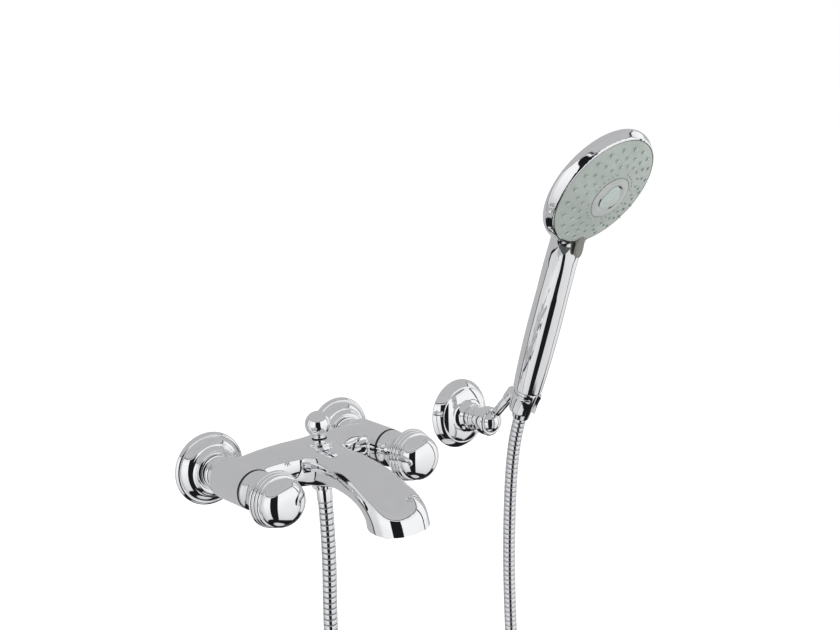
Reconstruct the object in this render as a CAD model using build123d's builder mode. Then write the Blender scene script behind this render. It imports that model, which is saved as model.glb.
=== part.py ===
"""Exposed two-handle bath mixer with a diverter, a hose, a wall bracket and a hand shower.

Millimetres. +X runs along the wall to the right, -Y points from the wall to the user
and +Z points up. The origin lies on the finished wall, midway between the two inlets.
"""
import os
from math import cos, pi, radians, sin, sqrt, tan

from build123d import *

os.makedirs("parts", exist_ok=True)

# Clearances
RUN = 0.3  # between pieces that move past each other
SHAFT = 0.05  # radial play of a shaft in its bore
SEAT = 0.05  # between pieces that are screwed or pushed together

# Wall inlets and the couplings behind the mixer
INLET_SPACING = 150.0
TAIL_R = 10.48  # G 1/2 thread
TAIL_LENGTH = 18.0
UNION_R = 13.2  # G 3/4 thread
UNION_BORE_R = 7.5
UNION_END = 20.0  # distance of the union's mouth from the wall
WASHER_THICK = 2.0
COUPLING_R = 16.6
COUPLING_START = 13.5
COUPLING_END = 28.6
FLANGE_R = 35.4
FLANGE_HUB_R = 21.4
FLANGE_DEPTH = 18.4

# Valve barrels and the bridge between them
BARREL_R = 20.0
BARREL_BACK = 29.5
BARREL_FRONT = 90.5
BARREL_FRONT_R = 18.7
NECK_R = 10.4
NECK_COLLAR_R = 12.6
NECK_COLLAR_THICK = 2.4
VALVE_BORE_R = 12.0
VALVE_SEAT = 62.0
INLET_BORE_R = 8.0
WATERWAY_R = 6.5
WATERWAY_Y = -73.0
WATERWAY_Z = 4.0

# Spout
SPOUT_BORE_R = 5.5
OUTLET_Y = -190.0
OUTLET_BOSS_R = 17.0
OUTLET_BOSS_END = -27.0
OUTLET_SOCKET_TOP = -15.0
AERATOR_R = 14.0
AERATOR_THREAD_R = 12.9
AERATOR_END = -36.0
AERATOR_TEETH = 6
AERATOR_TOOTH = 5.0
AERATOR_WALL = 1.7
AERATOR_INSERT_R = 11.2

# Diverter, in the middle of the bridge
DIVERTER_Y = -84.0
DIVERTER_TOP = 24.0
DIVERTER_BORE_R = 9.0
DIVERTER_SEAT = -5.0
DIVERTER_COLLAR_R = 11.8
DIVERTER_COLLAR_HEIGHT = 3.4
DIVERTER_NECK_R = 6.6
DIVERTER_BALL_R = 12.3
DIVERTER_BALL_Z = 41.6
DIVERTER_STEM_R = 3.0
PISTON_R = 8.5
SEAL_R = 8.5
SEAL_THICK = 1.0

# Hose outlet under the bridge
OUTLET_TOP = -12.6
OUTLET_BELL_R = 11.0
OUTLET_BELL_TOP_R = 8.6
OUTLET_BELL_HEIGHT = 7.6
OUTLET_THREAD_R = 7.5
FERRULE_R = 7.4
FERRULE_LENGTH = 14.0
FERRULE_SPIGOT_R = 6.4

# Round handles
HANDLE_R = 25.3
HANDLE_BASE_R = 18.2
HANDLE_WAIST_R = 16.2
HANDLE_START = 92.2
RINGS_START = 122.5
RING_WIDTH = 3.8
RING_STEP = 1.0
RING_COUNT = 3
CAP_R = 21.4
CAP_HEIGHT = 14.0
CAP_SPIGOT_R = 14.0
CAP_START = 136.0
SPINDLE_R = 4.0
SQUARE = 5.6
SQUARE_START = 103.0
SQUARE_END = 120.0
SCREW_SEAT = 122.0
HANDLE_SCREW_R = 1.8
CARTRIDGE_HEAD_R = 13.9
CARTRIDGE_HEAD = 4.0
CARTRIDGE_FLATS = 25.0
CARTRIDGE_NOSE_R = 7.6
CARTRIDGE_END = 103.0
DISC_R = 9.4
DISC_START = 64.0
DISC_THICK = 2.6

# Hose
HOSE_R = 7.0
HOSE_BORE_R = 4.4
HOSE_GROOVE_R = 6.0
HOSE_RIB_PITCH = 11.6
HOSE_SIDES = 8
RIB_PROFILE = ((0, HOSE_GROOVE_R), (0.2, HOSE_R), (0.65, HOSE_R), (0.85, HOSE_GROOVE_R))

# Wall bracket
BRACKET_X = 242.3
BRACKET_Z = -21.0
BRACKET_FLANGE_R = 40.0
BRACKET_FLANGE_DEPTH = 24.0
BRACKET_RIM = 7.6  # width of the rosette's rolled rim
BRACKET_HUB_R = 13.6
BRACKET_NECK_R = 13.2
NECK_BEAD_R = 15.0
NECK_BEAD_START = 28.6
PLATE_R = 26.0
PLATE_BOSS_R = 8.5
PLATE_BOSS_END = 24.0
PLATE_THICK = 3.0
PLATE_HOLE_R = 2.4
PLATE_HOLE_SPACING = 34.0
SCREW_LENGTH = 30.0
SCREW_R = 2.0
SHANK_R = 2.2  # plain shank in the plate, a little proud of it behind
SHANK_PROUD = 1.0
BALL_R = 13.0
BALL_Y = -53.0
LINER_THICK = 1.0
COLLAR_R = 16.2
COLLAR_START = 46.5
COLLAR_END = 58.2
LIP_START = 56.6
CUP_FLOOR = 39.4
LINER_START = 43.0
LINER_END = 53.1
ARM_R = 5.3
ARM_WAIST_R = 4.0
WAIST_END = 15.5
ARM_END = 46.0
ARM_STUD_R = 3.0
ARM_STUD_END = 54.0
BOSS_R = 6.6
ARM_RISE = 44.0  # degrees above the horizontal

# Hand shower and the holder that carries it
GRIP_START_Y = -116.9
GRIP_START_Z = 27.1
GRIP_LEAN = 22.0  # degrees forward of the vertical
GRIP_BORE_R = 12.6
GRIP_BORE_END = 148.0
WATER_TUBE_R = 8.0
PASSAGE_BELOW = 28.6  # end of the passage below the head's centre, along the grip
PASSAGE_BEHIND = 17.7
HEAD_R = 63.0
HEAD_DEPTH = 14.5
HEAD_BACK = 22.0
HEAD_CENTRE_UP = 235.6
HEAD_CENTRE_OUT = 29.2
HEAD_TILT = 14.0  # degrees between the face and the line of the grip
FACE_R = 58.4
FACE_THICK = 3.0
TONGUE_WIDTH = 11.0
TONGUE_END = 74.5
FLOW_R = 52.0
FLOW_BACK = 8.0
FLOW_PORT_RING = 30.0
FLOW_PORT_R = 6.0
PIVOT_R = 5.0
RECESS_INNER_R = 22.0
CENTRE_R = 19.0
JET_R = 11.5
NOZZLE_R = 1.5
NOZZLE_HEIGHT = 1.4
NOZZLE_RINGS = ((23.2, 24, 0.0), (31.0, 18, 0.0), (40.5, 20, 5.0), (50.3, 21, 4.0))
MARKER_X = -13.0
MARKER_Y = -67.5
MARKER_DEPTH = 12.0
MARKER_R = 5.6
CONE_TOP_R = 13.4
CONE_END_R = 9.4
CONE_TOP = -1.0
CONE_END = -36.0
SPIGOT_R = 10.48  # G 1/2 thread
HOLDER_TOP = -5.0
HOLDER_END = -28.0
HOLDER_TOP_R = 17.2
HOLDER_END_R = 13.9
HOLDER_SLOT = 15.4

OUT = (0, -1, 0)
UP = (0, 0, 1)
INLETS = {"left": -INLET_SPACING / 2, "right": INLET_SPACING / 2}
VALVES = {"hot": -INLET_SPACING / 2, "cold": INLET_SPACING / 2}


def keep(piece, name):
    """Labels a finished piece and writes its STEP file."""
    piece.part.label = name
    export_step(piece.part, f"parts/{name}.step")


def lathe(origin, axis):
    """Plane of a half section: local X is the radius, local Y runs along the axis."""
    return Plane(origin=origin, x_dir=(1, 0, 0), z_dir=Vector(1, 0, 0).cross(Vector(axis)))


def half_section(points, origin, axis):
    """Closed half section through (radius, distance) points."""
    with BuildSketch(lathe(origin, axis)) as half:
        with BuildLine():
            Polyline(*points, close=True)
        make_face()
    return half.sketch


def ring_section(inner, outer, start, end, origin, axis):
    """Half section of a plain ring or tube."""
    return half_section([(inner, start), (outer, start), (outer, end), (inner, end)], origin, axis)


def out_plane(x, distance, z=0.0):
    """Plane facing the user at a distance from the wall."""
    return Plane(origin=(x, -distance, z), x_dir=(1, 0, 0), z_dir=OUT)


def level_plane(z, y=DIVERTER_Y):
    """Level plane facing up, centred in the mixer's middle."""
    return Plane(origin=(0, y, z), x_dir=(1, 0, 0), z_dir=UP)


# Mixer body

# Spout sections: distance from the wall, height, slope, half width, half thickness
SPOUT_SECTIONS = (
    (58.0, 6.5, 0.0, 17.5, 18.0),
    (98.0, 8.5, 0.0, 19.0, 16.5),
    (127.0, 12.0, 5.0, 20.8, 12.8),
    (173.0, 0.7, 42.0, 25.8, 10.5),
    (192.6, -14.2, 85.0, 30.4, 19.5),
    (199.0, -23.5, 100.0, 27.5, 26.5),
)

# Bridge sections: x, distance of the middle from the wall, height, half depth, half height
BRIDGE_SECTIONS = (
    (-75.0, 59.5, 0.3, 21.5, 19.3),
    (-45.0, 59.5, 5.2, 21.5, 19.0),
    (0.0, 66.0, 6.5, 28.0, 19.2),
    (45.0, 59.5, 5.2, 21.5, 19.0),
    (75.0, 59.5, 0.3, 21.5, 19.3),
)

SPOUT_WATERWAY = ((0, -86, 9), (0, -150, 9.5), (0, -176, -3), (0, OUTLET_Y, OUTLET_SOCKET_TOP - 2))


def half_oval(half_width, half_height):
    """Right half of a smooth closed loop a little squarer than an ellipse."""
    fullness = 0.86
    side = []
    for step in range(7):
        across, along = sin(pi * step / 6), cos(pi * step / 6)
        lift = 1 if along > 0 else -1
        side.append((half_width * across**fullness, lift * half_height * abs(along) ** fullness))
    side[0], side[-1] = (0, half_height), (0, -half_height)
    with BuildSketch(Plane.XY) as loop:
        with BuildLine():
            Spline(*side, tangents=((1, 0), (-1, 0)))
            Line(side[-1], side[0])
        make_face()
    return loop.sketch


def sloped_plane(distance, height, slope):
    """Plane across the spout, whose normal points out and down by the slope."""
    fall = radians(slope)
    return Plane(origin=(0, -distance, height), x_dir=(1, 0, 0), z_dir=(0, -cos(fall), -sin(fall)))


with BuildPart() as spout_half:
    for distance, height, slope, half_width, half_thickness in SPOUT_SECTIONS:
        with BuildSketch(sloped_plane(distance, height, slope)):
            add(half_oval(half_width, half_thickness))
    loft()

with BuildPart() as mixer_body:
    # the bridge, lofted from barrel to barrel
    for x, distance, height, half_depth, half_height in BRIDGE_SECTIONS:
        with BuildSketch(Plane(origin=(x, -distance, height), x_dir=(0, 1, 0), z_dir=(1, 0, 0))):
            RectangleRounded(2 * half_depth, 2 * half_height, 0.62 * half_height)
    loft()
    # the spout, a tongue that widens and turns down to its rim
    add(spout_half.part)
    mirror(spout_half.part, about=Plane.YZ)
    # the boss that takes the aerator
    with BuildSketch(level_plane(OUTLET_BOSS_END, OUTLET_Y)):
        Circle(OUTLET_BOSS_R)
    extrude(amount=12)
    # the two valve barrels, each with a collared neck towards the wall
    for x in INLETS.values():
        with BuildSketch(lathe((x, 0, 0), OUT)):
            with BuildLine():
                Polyline(
                    (NECK_R, BARREL_BACK),
                    (NECK_R, UNION_END + WASHER_THICK + NECK_COLLAR_THICK),
                    (NECK_COLLAR_R, UNION_END + WASHER_THICK + NECK_COLLAR_THICK),
                    (NECK_COLLAR_R, UNION_END + WASHER_THICK),
                    (0, UNION_END + WASHER_THICK),
                    (0, BARREL_FRONT),
                    (BARREL_FRONT_R, BARREL_FRONT),
                    (BARREL_R, BARREL_BACK + 12),
                )
                RadiusArc((BARREL_R, BARREL_BACK + 12), (NECK_R + 2, BARREL_BACK), 13.5)
                Line((NECK_R + 2, BARREL_BACK), (NECK_R, BARREL_BACK))
            make_face()
        revolve(axis=Axis((x, 0, 0), OUT))
    # bores for the inlets and the valves
    for x in INLETS.values():
        with BuildSketch(out_plane(x, UNION_END)):
            Circle(INLET_BORE_R)
        extrude(amount=VALVE_SEAT - UNION_END, mode=Mode.SUBTRACT)
        with BuildSketch(out_plane(x, VALVE_SEAT)):
            Circle(VALVE_BORE_R)
        extrude(amount=BARREL_FRONT - VALVE_SEAT + 1, mode=Mode.SUBTRACT)
    # the waterway from barrel to barrel
    with BuildSketch(Plane(origin=(0, WATERWAY_Y, WATERWAY_Z), x_dir=(0, 1, 0), z_dir=(1, 0, 0))):
        Circle(WATERWAY_R)
    extrude(amount=INLET_SPACING / 2, both=True, mode=Mode.SUBTRACT)
    # the diverter's bore and the bore of the hose outlet below its seat
    with BuildSketch(level_plane(DIVERTER_SEAT)):
        Circle(DIVERTER_BORE_R)
    extrude(amount=40, mode=Mode.SUBTRACT)
    with BuildSketch(level_plane(DIVERTER_SEAT + 1)):
        Circle(OUTLET_THREAD_R + SEAT)
    extrude(amount=-20, mode=Mode.SUBTRACT)
    # the waterway through the spout and the aerator's socket
    with BuildLine():
        spout_path = FilletPolyline(*SPOUT_WATERWAY, radius=14)
    with BuildSketch(Plane(origin=spout_path @ 0, z_dir=spout_path % 0)):
        Circle(SPOUT_BORE_R)
    sweep(path=spout_path, mode=Mode.SUBTRACT)
    with BuildSketch(level_plane(OUTLET_BOSS_END - 5, OUTLET_Y)):
        Circle(AERATOR_THREAD_R + SEAT)
    extrude(amount=OUTLET_SOCKET_TOP - OUTLET_BOSS_END + 5, mode=Mode.SUBTRACT)
    # flat seats for the diverter's collar and for the hose outlet
    with BuildSketch(level_plane(DIVERTER_TOP)):
        Circle(DIVERTER_COLLAR_R)
    extrude(amount=10, mode=Mode.SUBTRACT)
    with BuildSketch(level_plane(OUTLET_TOP)):
        Circle(OUTLET_BELL_TOP_R + 1)
    extrude(amount=-10, mode=Mode.SUBTRACT)
keep(mixer_body, "mixer_body")

# Couplings and wall flanges

for side, x in INLETS.items():
    at = (x, 0, 0)
    with BuildPart() as wall_union:
        # threaded tail in the wall, spanner shoulder, threaded mouth
        profile = [
            (UNION_BORE_R, -TAIL_LENGTH),
            (TAIL_R, -TAIL_LENGTH),
            (TAIL_R, 0.5),
            (UNION_R + 0.8, 1.5),
            (UNION_R + 0.8, 4.5),
            (UNION_R, 5.0),
            (UNION_R, UNION_END),
            (UNION_BORE_R, UNION_END),
        ]
        revolve(half_section(profile, at, OUT), axis=Axis(at, OUT))
    keep(wall_union, f"wall_union_{side}")

    with BuildPart() as coupling_nut:
        throat = UNION_END + WASHER_THICK + NECK_COLLAR_THICK + SEAT
        profile = [
            (UNION_R + SEAT, COUPLING_START),
            (COUPLING_R - 0.8, COUPLING_START),
            (COUPLING_R, COUPLING_START + 0.8),
            (COUPLING_R, COUPLING_END - 1.5),
            (COUPLING_R - 1.5, COUPLING_END),
            (NECK_R + SEAT, COUPLING_END),
            (NECK_R + SEAT, throat),
            (UNION_R + SEAT, throat),
        ]
        revolve(half_section(profile, at, OUT), axis=Axis(at, OUT))
    keep(coupling_nut, f"coupling_nut_{side}")

    with BuildPart() as wall_flange:
        # bell-shaped rosette: stepped rim, dome, cove and hub
        rim = FLANGE_R - 3.6
        with BuildSketch(lathe(at, OUT)):
            with BuildLine():
                Polyline((FLANGE_R - 1.2, 0), (FLANGE_R, 1.2), (FLANGE_R, 2.6))
                RadiusArc((FLANGE_R, 2.6), (rim, 5.4), -4.0)
                Line((rim, 5.4), (rim, 4.6))
                Line((rim, 4.6), (rim - 0.8, 4.6))
                RadiusArc((rim - 0.8, 4.6), (FLANGE_HUB_R + 3.4, 11.8), -14.0)
                RadiusArc((FLANGE_HUB_R + 3.4, 11.8), (FLANGE_HUB_R, 15.4), 4.2)
                Line((FLANGE_HUB_R, 15.4), (FLANGE_HUB_R, FLANGE_DEPTH - 1))
                Polyline(
                    (FLANGE_HUB_R, FLANGE_DEPTH - 1),
                    (FLANGE_HUB_R - 1, FLANGE_DEPTH),
                    (COUPLING_R + RUN, FLANGE_DEPTH),
                    (COUPLING_R + RUN, COUPLING_START - 2),
                    (UNION_R + SEAT, COUPLING_START - 2),
                    (UNION_R + SEAT, COUPLING_START - 5),
                    (FLANGE_HUB_R, COUPLING_START - 5),
                    (rim - 3, 2.6),
                    (rim, 0),
                    (FLANGE_R - 1.2, 0),
                )
            make_face()
        revolve(axis=Axis(at, OUT))
    keep(wall_flange, f"wall_flange_{side}")

with BuildPart() as union_washers:
    for x in INLETS.values():
        at = (x, 0, 0)
        washer = ring_section(INLET_BORE_R, 12.4, UNION_END, UNION_END + WASHER_THICK, at, OUT)
        revolve(washer, axis=Axis(at, OUT))
keep(union_washers, "union_washers")

# Valves: cartridge, ceramic discs and spindle in each barrel

for valve, x in VALVES.items():
    at = (x, 0, 0)
    with BuildPart() as valve_cartridge:
        # skirt round the discs, guide for the spindle, nose inside the handle
        profile = [
            (DISC_R + SEAT, VALVE_SEAT + 2),
            (VALVE_BORE_R - SEAT, VALVE_SEAT + 2),
            (VALVE_BORE_R - SEAT, BARREL_FRONT),
            (CARTRIDGE_HEAD_R, BARREL_FRONT),
            (CARTRIDGE_HEAD_R, BARREL_FRONT + CARTRIDGE_HEAD),
            (CARTRIDGE_NOSE_R, BARREL_FRONT + CARTRIDGE_HEAD),
            (CARTRIDGE_NOSE_R, CARTRIDGE_END),
            (SPINDLE_R + SHAFT, CARTRIDGE_END),
            (SPINDLE_R + SHAFT, DISC_START + 12),
            (DISC_R + SEAT, DISC_START + 12),
        ]
        revolve(half_section(profile, at, OUT), axis=Axis(at, OUT))
        # six flats for the spanner
        with BuildSketch(out_plane(x, BARREL_FRONT)):
            Circle(CARTRIDGE_HEAD_R + 1)
            RegularPolygon(CARTRIDGE_FLATS / 2, 6, major_radius=False, mode=Mode.SUBTRACT)
        extrude(amount=CARTRIDGE_HEAD, mode=Mode.SUBTRACT)
        # two side ports for the outgoing water
        with BuildSketch(Plane(origin=(x, WATERWAY_Y, 0), x_dir=(0, 1, 0), z_dir=(1, 0, 0))):
            Circle(3.2)
        extrude(amount=20, both=True, mode=Mode.SUBTRACT)
    keep(valve_cartridge, f"valve_cartridge_{valve}")

    with BuildPart() as valve_spindle:
        # disc carrier, round stem and square end
        top = DISC_START + 2 * DISC_THICK + 2 * RUN
        profile = [(0, top), (DISC_R - RUN, top), (DISC_R - RUN, top + 3), (SPINDLE_R, top + 3)]
        profile += [(SPINDLE_R, SQUARE_START), (0, SQUARE_START)]
        revolve(half_section(profile, at, OUT), axis=Axis(at, OUT))
        with BuildSketch(out_plane(x, SQUARE_START)):
            Rectangle(SQUARE, SQUARE)
        extrude(amount=SQUARE_END - SQUARE_START)
        with BuildSketch(out_plane(x, SQUARE_END)):
            Circle(HANDLE_SCREW_R + SEAT)
        extrude(amount=-11, mode=Mode.SUBTRACT)
    keep(valve_spindle, f"valve_spindle_{valve}")

    with BuildPart() as ceramic_disc:
        # upper disc, with the half-round window that lets the water through
        with BuildSketch(out_plane(x, DISC_START + DISC_THICK + RUN)):
            Circle(DISC_R - RUN)
            with BuildSketch(mode=Mode.SUBTRACT):
                Circle(6.5)
                with Locations((5, 0)):
                    Rectangle(10, 14, mode=Mode.INTERSECT)
        extrude(amount=DISC_THICK)
    keep(ceramic_disc, f"ceramic_disc_{valve}")

    with BuildPart() as handle:
        # base, waist, flare and three stepped rings
        rings = []
        for ring in range(RING_COUNT):
            radius = HANDLE_R - ring * RING_STEP
            start = RINGS_START + ring * RING_WIDTH
            end = start + RING_WIDTH - 0.7
            rings += [(radius - 0.9, start), (radius, start + 0.9), (radius, end - 0.9)]
            rings += [(radius - 0.9, end), (radius - 2.2, end), (radius - 2.2, end + 0.7)]
        front = RINGS_START + RING_COUNT * RING_WIDTH
        with BuildSketch(lathe(at, OUT)):
            with BuildLine():
                Polyline(
                    (CARTRIDGE_HEAD_R + 1, HANDLE_START),
                    (HANDLE_BASE_R - 0.8, HANDLE_START),
                    (HANDLE_BASE_R, HANDLE_START + 0.8),
                    (HANDLE_BASE_R, HANDLE_START + 3.0),
                )
                Spline(
                    (HANDLE_BASE_R, HANDLE_START + 3.0),
                    (HANDLE_WAIST_R, HANDLE_START + 12.0),
                    rings[0],
                    tangents=((-0.3, 1), (1, 0.6)),
                )
                Polyline(
                    *rings,
                    (CAP_R - 1, front),
                    (CAP_R - 1, CAP_START),
                    (CAP_SPIGOT_R + SEAT, CAP_START),
                    (CAP_SPIGOT_R + SEAT, SCREW_SEAT),
                    (0, SCREW_SEAT),
                    (0, CARTRIDGE_END + 0.7),
                    (CARTRIDGE_NOSE_R + 0.7, CARTRIDGE_END + 0.7),
                    (CARTRIDGE_NOSE_R + 0.7, BARREL_FRONT + CARTRIDGE_HEAD + 3),
                    (CARTRIDGE_HEAD_R + 1, BARREL_FRONT + CARTRIDGE_HEAD + 1),
                    (CARTRIDGE_HEAD_R + 1, HANDLE_START),
                )
            make_face()
        revolve(axis=Axis(at, OUT))
        # square socket for the spindle, hole for the screw
        with BuildSketch(out_plane(x, CARTRIDGE_END)):
            Rectangle(SQUARE + 2 * SEAT, SQUARE + 2 * SEAT)
        extrude(amount=SQUARE_END + SEAT - CARTRIDGE_END, mode=Mode.SUBTRACT)
        with BuildSketch(out_plane(x, SQUARE_END)):
            Circle(HANDLE_SCREW_R + SEAT)
        extrude(amount=SCREW_SEAT - SQUARE_END + 1, mode=Mode.SUBTRACT)
    keep(handle, f"handle_{valve}")

    with BuildPart() as handle_screw:
        profile = [
            (0, SQUARE_END - 10),
            (HANDLE_SCREW_R, SQUARE_END - 10),
            (HANDLE_SCREW_R, SCREW_SEAT),
            (2 * HANDLE_SCREW_R, SCREW_SEAT),
            (2 * HANDLE_SCREW_R, SCREW_SEAT + 2.6),
            (0, SCREW_SEAT + 2.6),
        ]
        revolve(half_section(profile, at, OUT), axis=Axis(at, OUT))
        # cross recess
        with BuildSketch(out_plane(x, SCREW_SEAT + 2.6)):
            Rectangle(4.2, 1.0)
            Rectangle(1.0, 4.2)
        extrude(amount=-1.6, mode=Mode.SUBTRACT)
    keep(handle_screw, f"handle_screw_{valve}")

    with BuildPart() as handle_cap:
        # domed cap pushed into the handle
        bulge = (CAP_R**2 + CAP_HEIGHT**2) / (2 * CAP_HEIGHT)
        with BuildSketch(lathe(at, OUT)):
            with BuildLine():
                Polyline(
                    (0, CAP_START + CAP_HEIGHT - 2),
                    (0, CAP_START + CAP_HEIGHT),
                )
                RadiusArc((0, CAP_START + CAP_HEIGHT), (CAP_R, CAP_START + 0.8), bulge)
                Polyline(
                    (CAP_R, CAP_START + 0.8),
                    (CAP_R, CAP_START),
                    (CAP_SPIGOT_R, CAP_START),
                    (CAP_SPIGOT_R, CAP_START - 4),
                    (CAP_SPIGOT_R - 2, CAP_START - 4),
                    (CAP_SPIGOT_R - 2, CAP_START + 6),
                    (0, CAP_START + CAP_HEIGHT - 2),
                )
            make_face()
        revolve(axis=Axis(at, OUT))
    keep(handle_cap, f"handle_cap_{valve}")

with BuildPart() as ceramic_seats:
    # lower discs, fixed in the cartridges
    for x in VALVES.values():
        with BuildSketch(out_plane(x, DISC_START)):
            Circle(DISC_R)
            with BuildSketch(mode=Mode.SUBTRACT):
                Circle(6.5)
                with Locations((5, 0)):
                    Rectangle(10, 14, mode=Mode.INTERSECT)
        extrude(amount=DISC_THICK)
keep(ceramic_seats, "ceramic_seats")

with BuildPart() as valve_seals:
    # lip seals between the cartridges and the floor of their bores
    for x in VALVES.values():
        at = (x, 0, 0)
        seal = ring_section(INLET_BORE_R, DISC_R + 1.6, VALVE_SEAT, VALVE_SEAT + 2, at, OUT)
        revolve(seal, axis=Axis(at, OUT))
keep(valve_seals, "valve_seals")

with BuildPart() as glide_rings:
    # black rings between the barrels and the handles
    for x in VALVES.values():
        at = (x, 0, 0)
        end = HANDLE_START - RUN
        profile = [
            (CARTRIDGE_HEAD_R + SEAT, BARREL_FRONT),
            (BARREL_FRONT_R - 0.2, BARREL_FRONT),
            (BARREL_FRONT_R - 0.2, end - 0.4),
            (BARREL_FRONT_R - 0.6, end),
            (CARTRIDGE_HEAD_R + SEAT, end),
        ]
        revolve(half_section(profile, at, OUT), axis=Axis(at, OUT))
keep(glide_rings, "glide_rings")

# Diverter between the spout and the hose

axis_foot = (0, DIVERTER_Y, 0)
with BuildPart() as diverter_collar:
    # guide for the stem, screwed into the bridge, with a coved foot
    foot = DIVERTER_TOP
    top = foot + DIVERTER_COLLAR_HEIGHT
    with BuildSketch(lathe(axis_foot, UP)):
        with BuildLine():
            Polyline((DIVERTER_COLLAR_R, foot), (DIVERTER_COLLAR_R, foot + 1.4))
            RadiusArc((DIVERTER_COLLAR_R, foot + 1.4), (SEAL_R, top), 5.0)
            Polyline(
                (SEAL_R, top),
                (DIVERTER_STEM_R + SHAFT, top),
                (DIVERTER_STEM_R + SHAFT, foot - 10),
                (DIVERTER_BORE_R - SEAT, foot - 10),
                (DIVERTER_BORE_R - SEAT, foot),
                (DIVERTER_COLLAR_R, foot),
            )
        make_face()
    revolve(axis=Axis(axis_foot, UP))
keep(diverter_collar, "diverter_collar")

with BuildPart() as diverter_seal:
    base = DIVERTER_TOP + DIVERTER_COLLAR_HEIGHT
    ring = ring_section(DIVERTER_STEM_R + RUN, SEAL_R, base, base + SEAL_THICK, axis_foot, UP)
    revolve(ring, axis=Axis(axis_foot, UP))
keep(diverter_seal, "diverter_seal")

with BuildPart() as diverter_stem:
    with BuildSketch(level_plane(DIVERTER_SEAT + 1.5)):
        Circle(DIVERTER_STEM_R)
    extrude(amount=DIVERTER_BALL_Z - DIVERTER_SEAT - 1.5)
keep(diverter_stem, "diverter_stem")

with BuildPart() as diverter_piston:
    # rubber-faced piston that closes the spout when up and the hose when down
    floor = DIVERTER_SEAT + RUN
    profile = [
        (0, floor),
        (PISTON_R - 0.6, floor),
        (PISTON_R, floor + 0.8),
        (PISTON_R, floor + 4),
        (DIVERTER_STEM_R + 2, floor + 5.5),
        (DIVERTER_STEM_R + SEAT, floor + 5.5),
        (DIVERTER_STEM_R + SEAT, DIVERTER_SEAT + 1.5 - SEAT),
        (0, DIVERTER_SEAT + 1.5 - SEAT),
    ]
    revolve(half_section(profile, axis_foot, UP), axis=Axis(axis_foot, UP))
keep(diverter_piston, "diverter_piston")

with BuildPart() as diverter_knob:
    # ball on a flared neck, bored for the stem
    base = DIVERTER_TOP + DIVERTER_COLLAR_HEIGHT + SEAL_THICK + RUN
    meet = DIVERTER_BALL_Z - sqrt(DIVERTER_BALL_R**2 - (DIVERTER_NECK_R - 1.4) ** 2)
    ball_top = DIVERTER_BALL_Z + DIVERTER_BALL_R
    with BuildSketch(lathe(axis_foot, UP)):
        with BuildLine():
            Polyline(
                (DIVERTER_STEM_R + SEAT, base),
                (DIVERTER_NECK_R, base),
                (DIVERTER_NECK_R - 1.4, meet),
            )
            ThreePointArc(
                (DIVERTER_NECK_R - 1.4, meet),
                (DIVERTER_BALL_R, DIVERTER_BALL_Z),
                (0, ball_top),
            )
            Polyline(
                (0, ball_top),
                (0, DIVERTER_BALL_Z + SEAT),
                (DIVERTER_STEM_R + SEAT, DIVERTER_BALL_Z + SEAT),
                (DIVERTER_STEM_R + SEAT, base),
            )
        make_face()
    revolve(axis=Axis(axis_foot, UP))
keep(diverter_knob, "diverter_knob")

# Hose outlet and the end fitting of the hose

with BuildPart() as hose_outlet:
    # threaded spigot in the body, fluted bell below it, socket for the ferrule
    end = OUTLET_TOP - OUTLET_BELL_HEIGHT
    profile = [
        (HOSE_BORE_R, DIVERTER_SEAT),
        (OUTLET_THREAD_R, DIVERTER_SEAT),
        (OUTLET_THREAD_R, OUTLET_TOP),
        (OUTLET_BELL_TOP_R, OUTLET_TOP),
        (OUTLET_BELL_TOP_R + 0.5, OUTLET_TOP - 3),
        (OUTLET_BELL_R, end + 1.6),
        (OUTLET_BELL_R, end),
        (FERRULE_SPIGOT_R + SEAT, end),
        (FERRULE_SPIGOT_R + SEAT, OUTLET_TOP - 0.5),
        (HOSE_BORE_R, OUTLET_TOP - 0.5),
    ]
    revolve(half_section(profile, axis_foot, UP), axis=Axis(axis_foot, UP))
    with BuildSketch(level_plane(end)):
        with PolarLocations(OUTLET_BELL_R + 1.9, 10):
            Circle(2.8)
    extrude(amount=OUTLET_BELL_HEIGHT - 1, mode=Mode.SUBTRACT)
keep(hose_outlet, "hose_outlet")

ferrule_top = OUTLET_TOP - OUTLET_BELL_HEIGHT
ferrule_end = ferrule_top - FERRULE_LENGTH
with BuildPart() as hose_ferrule:
    profile = [
        (HOSE_BORE_R, ferrule_end),
        (FERRULE_R - 0.6, ferrule_end),
        (FERRULE_R, ferrule_end + 0.6),
        (FERRULE_R, ferrule_top),
        (FERRULE_SPIGOT_R, ferrule_top),
        (FERRULE_SPIGOT_R, OUTLET_TOP - 2.5),
        (HOSE_BORE_R, OUTLET_TOP - 2.5),
    ]
    revolve(half_section(profile, axis_foot, UP), axis=Axis(axis_foot, UP))
keep(hose_ferrule, "hose_ferrule")

with BuildPart() as hose_washer_lower:
    top = OUTLET_TOP - 0.5
    ring = ring_section(HOSE_BORE_R, FERRULE_SPIGOT_R, top - 2, top, axis_foot, UP)
    revolve(ring, axis=Axis(axis_foot, UP))
keep(hose_washer_lower, "hose_washer_lower")

# Aerator under the spout

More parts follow.
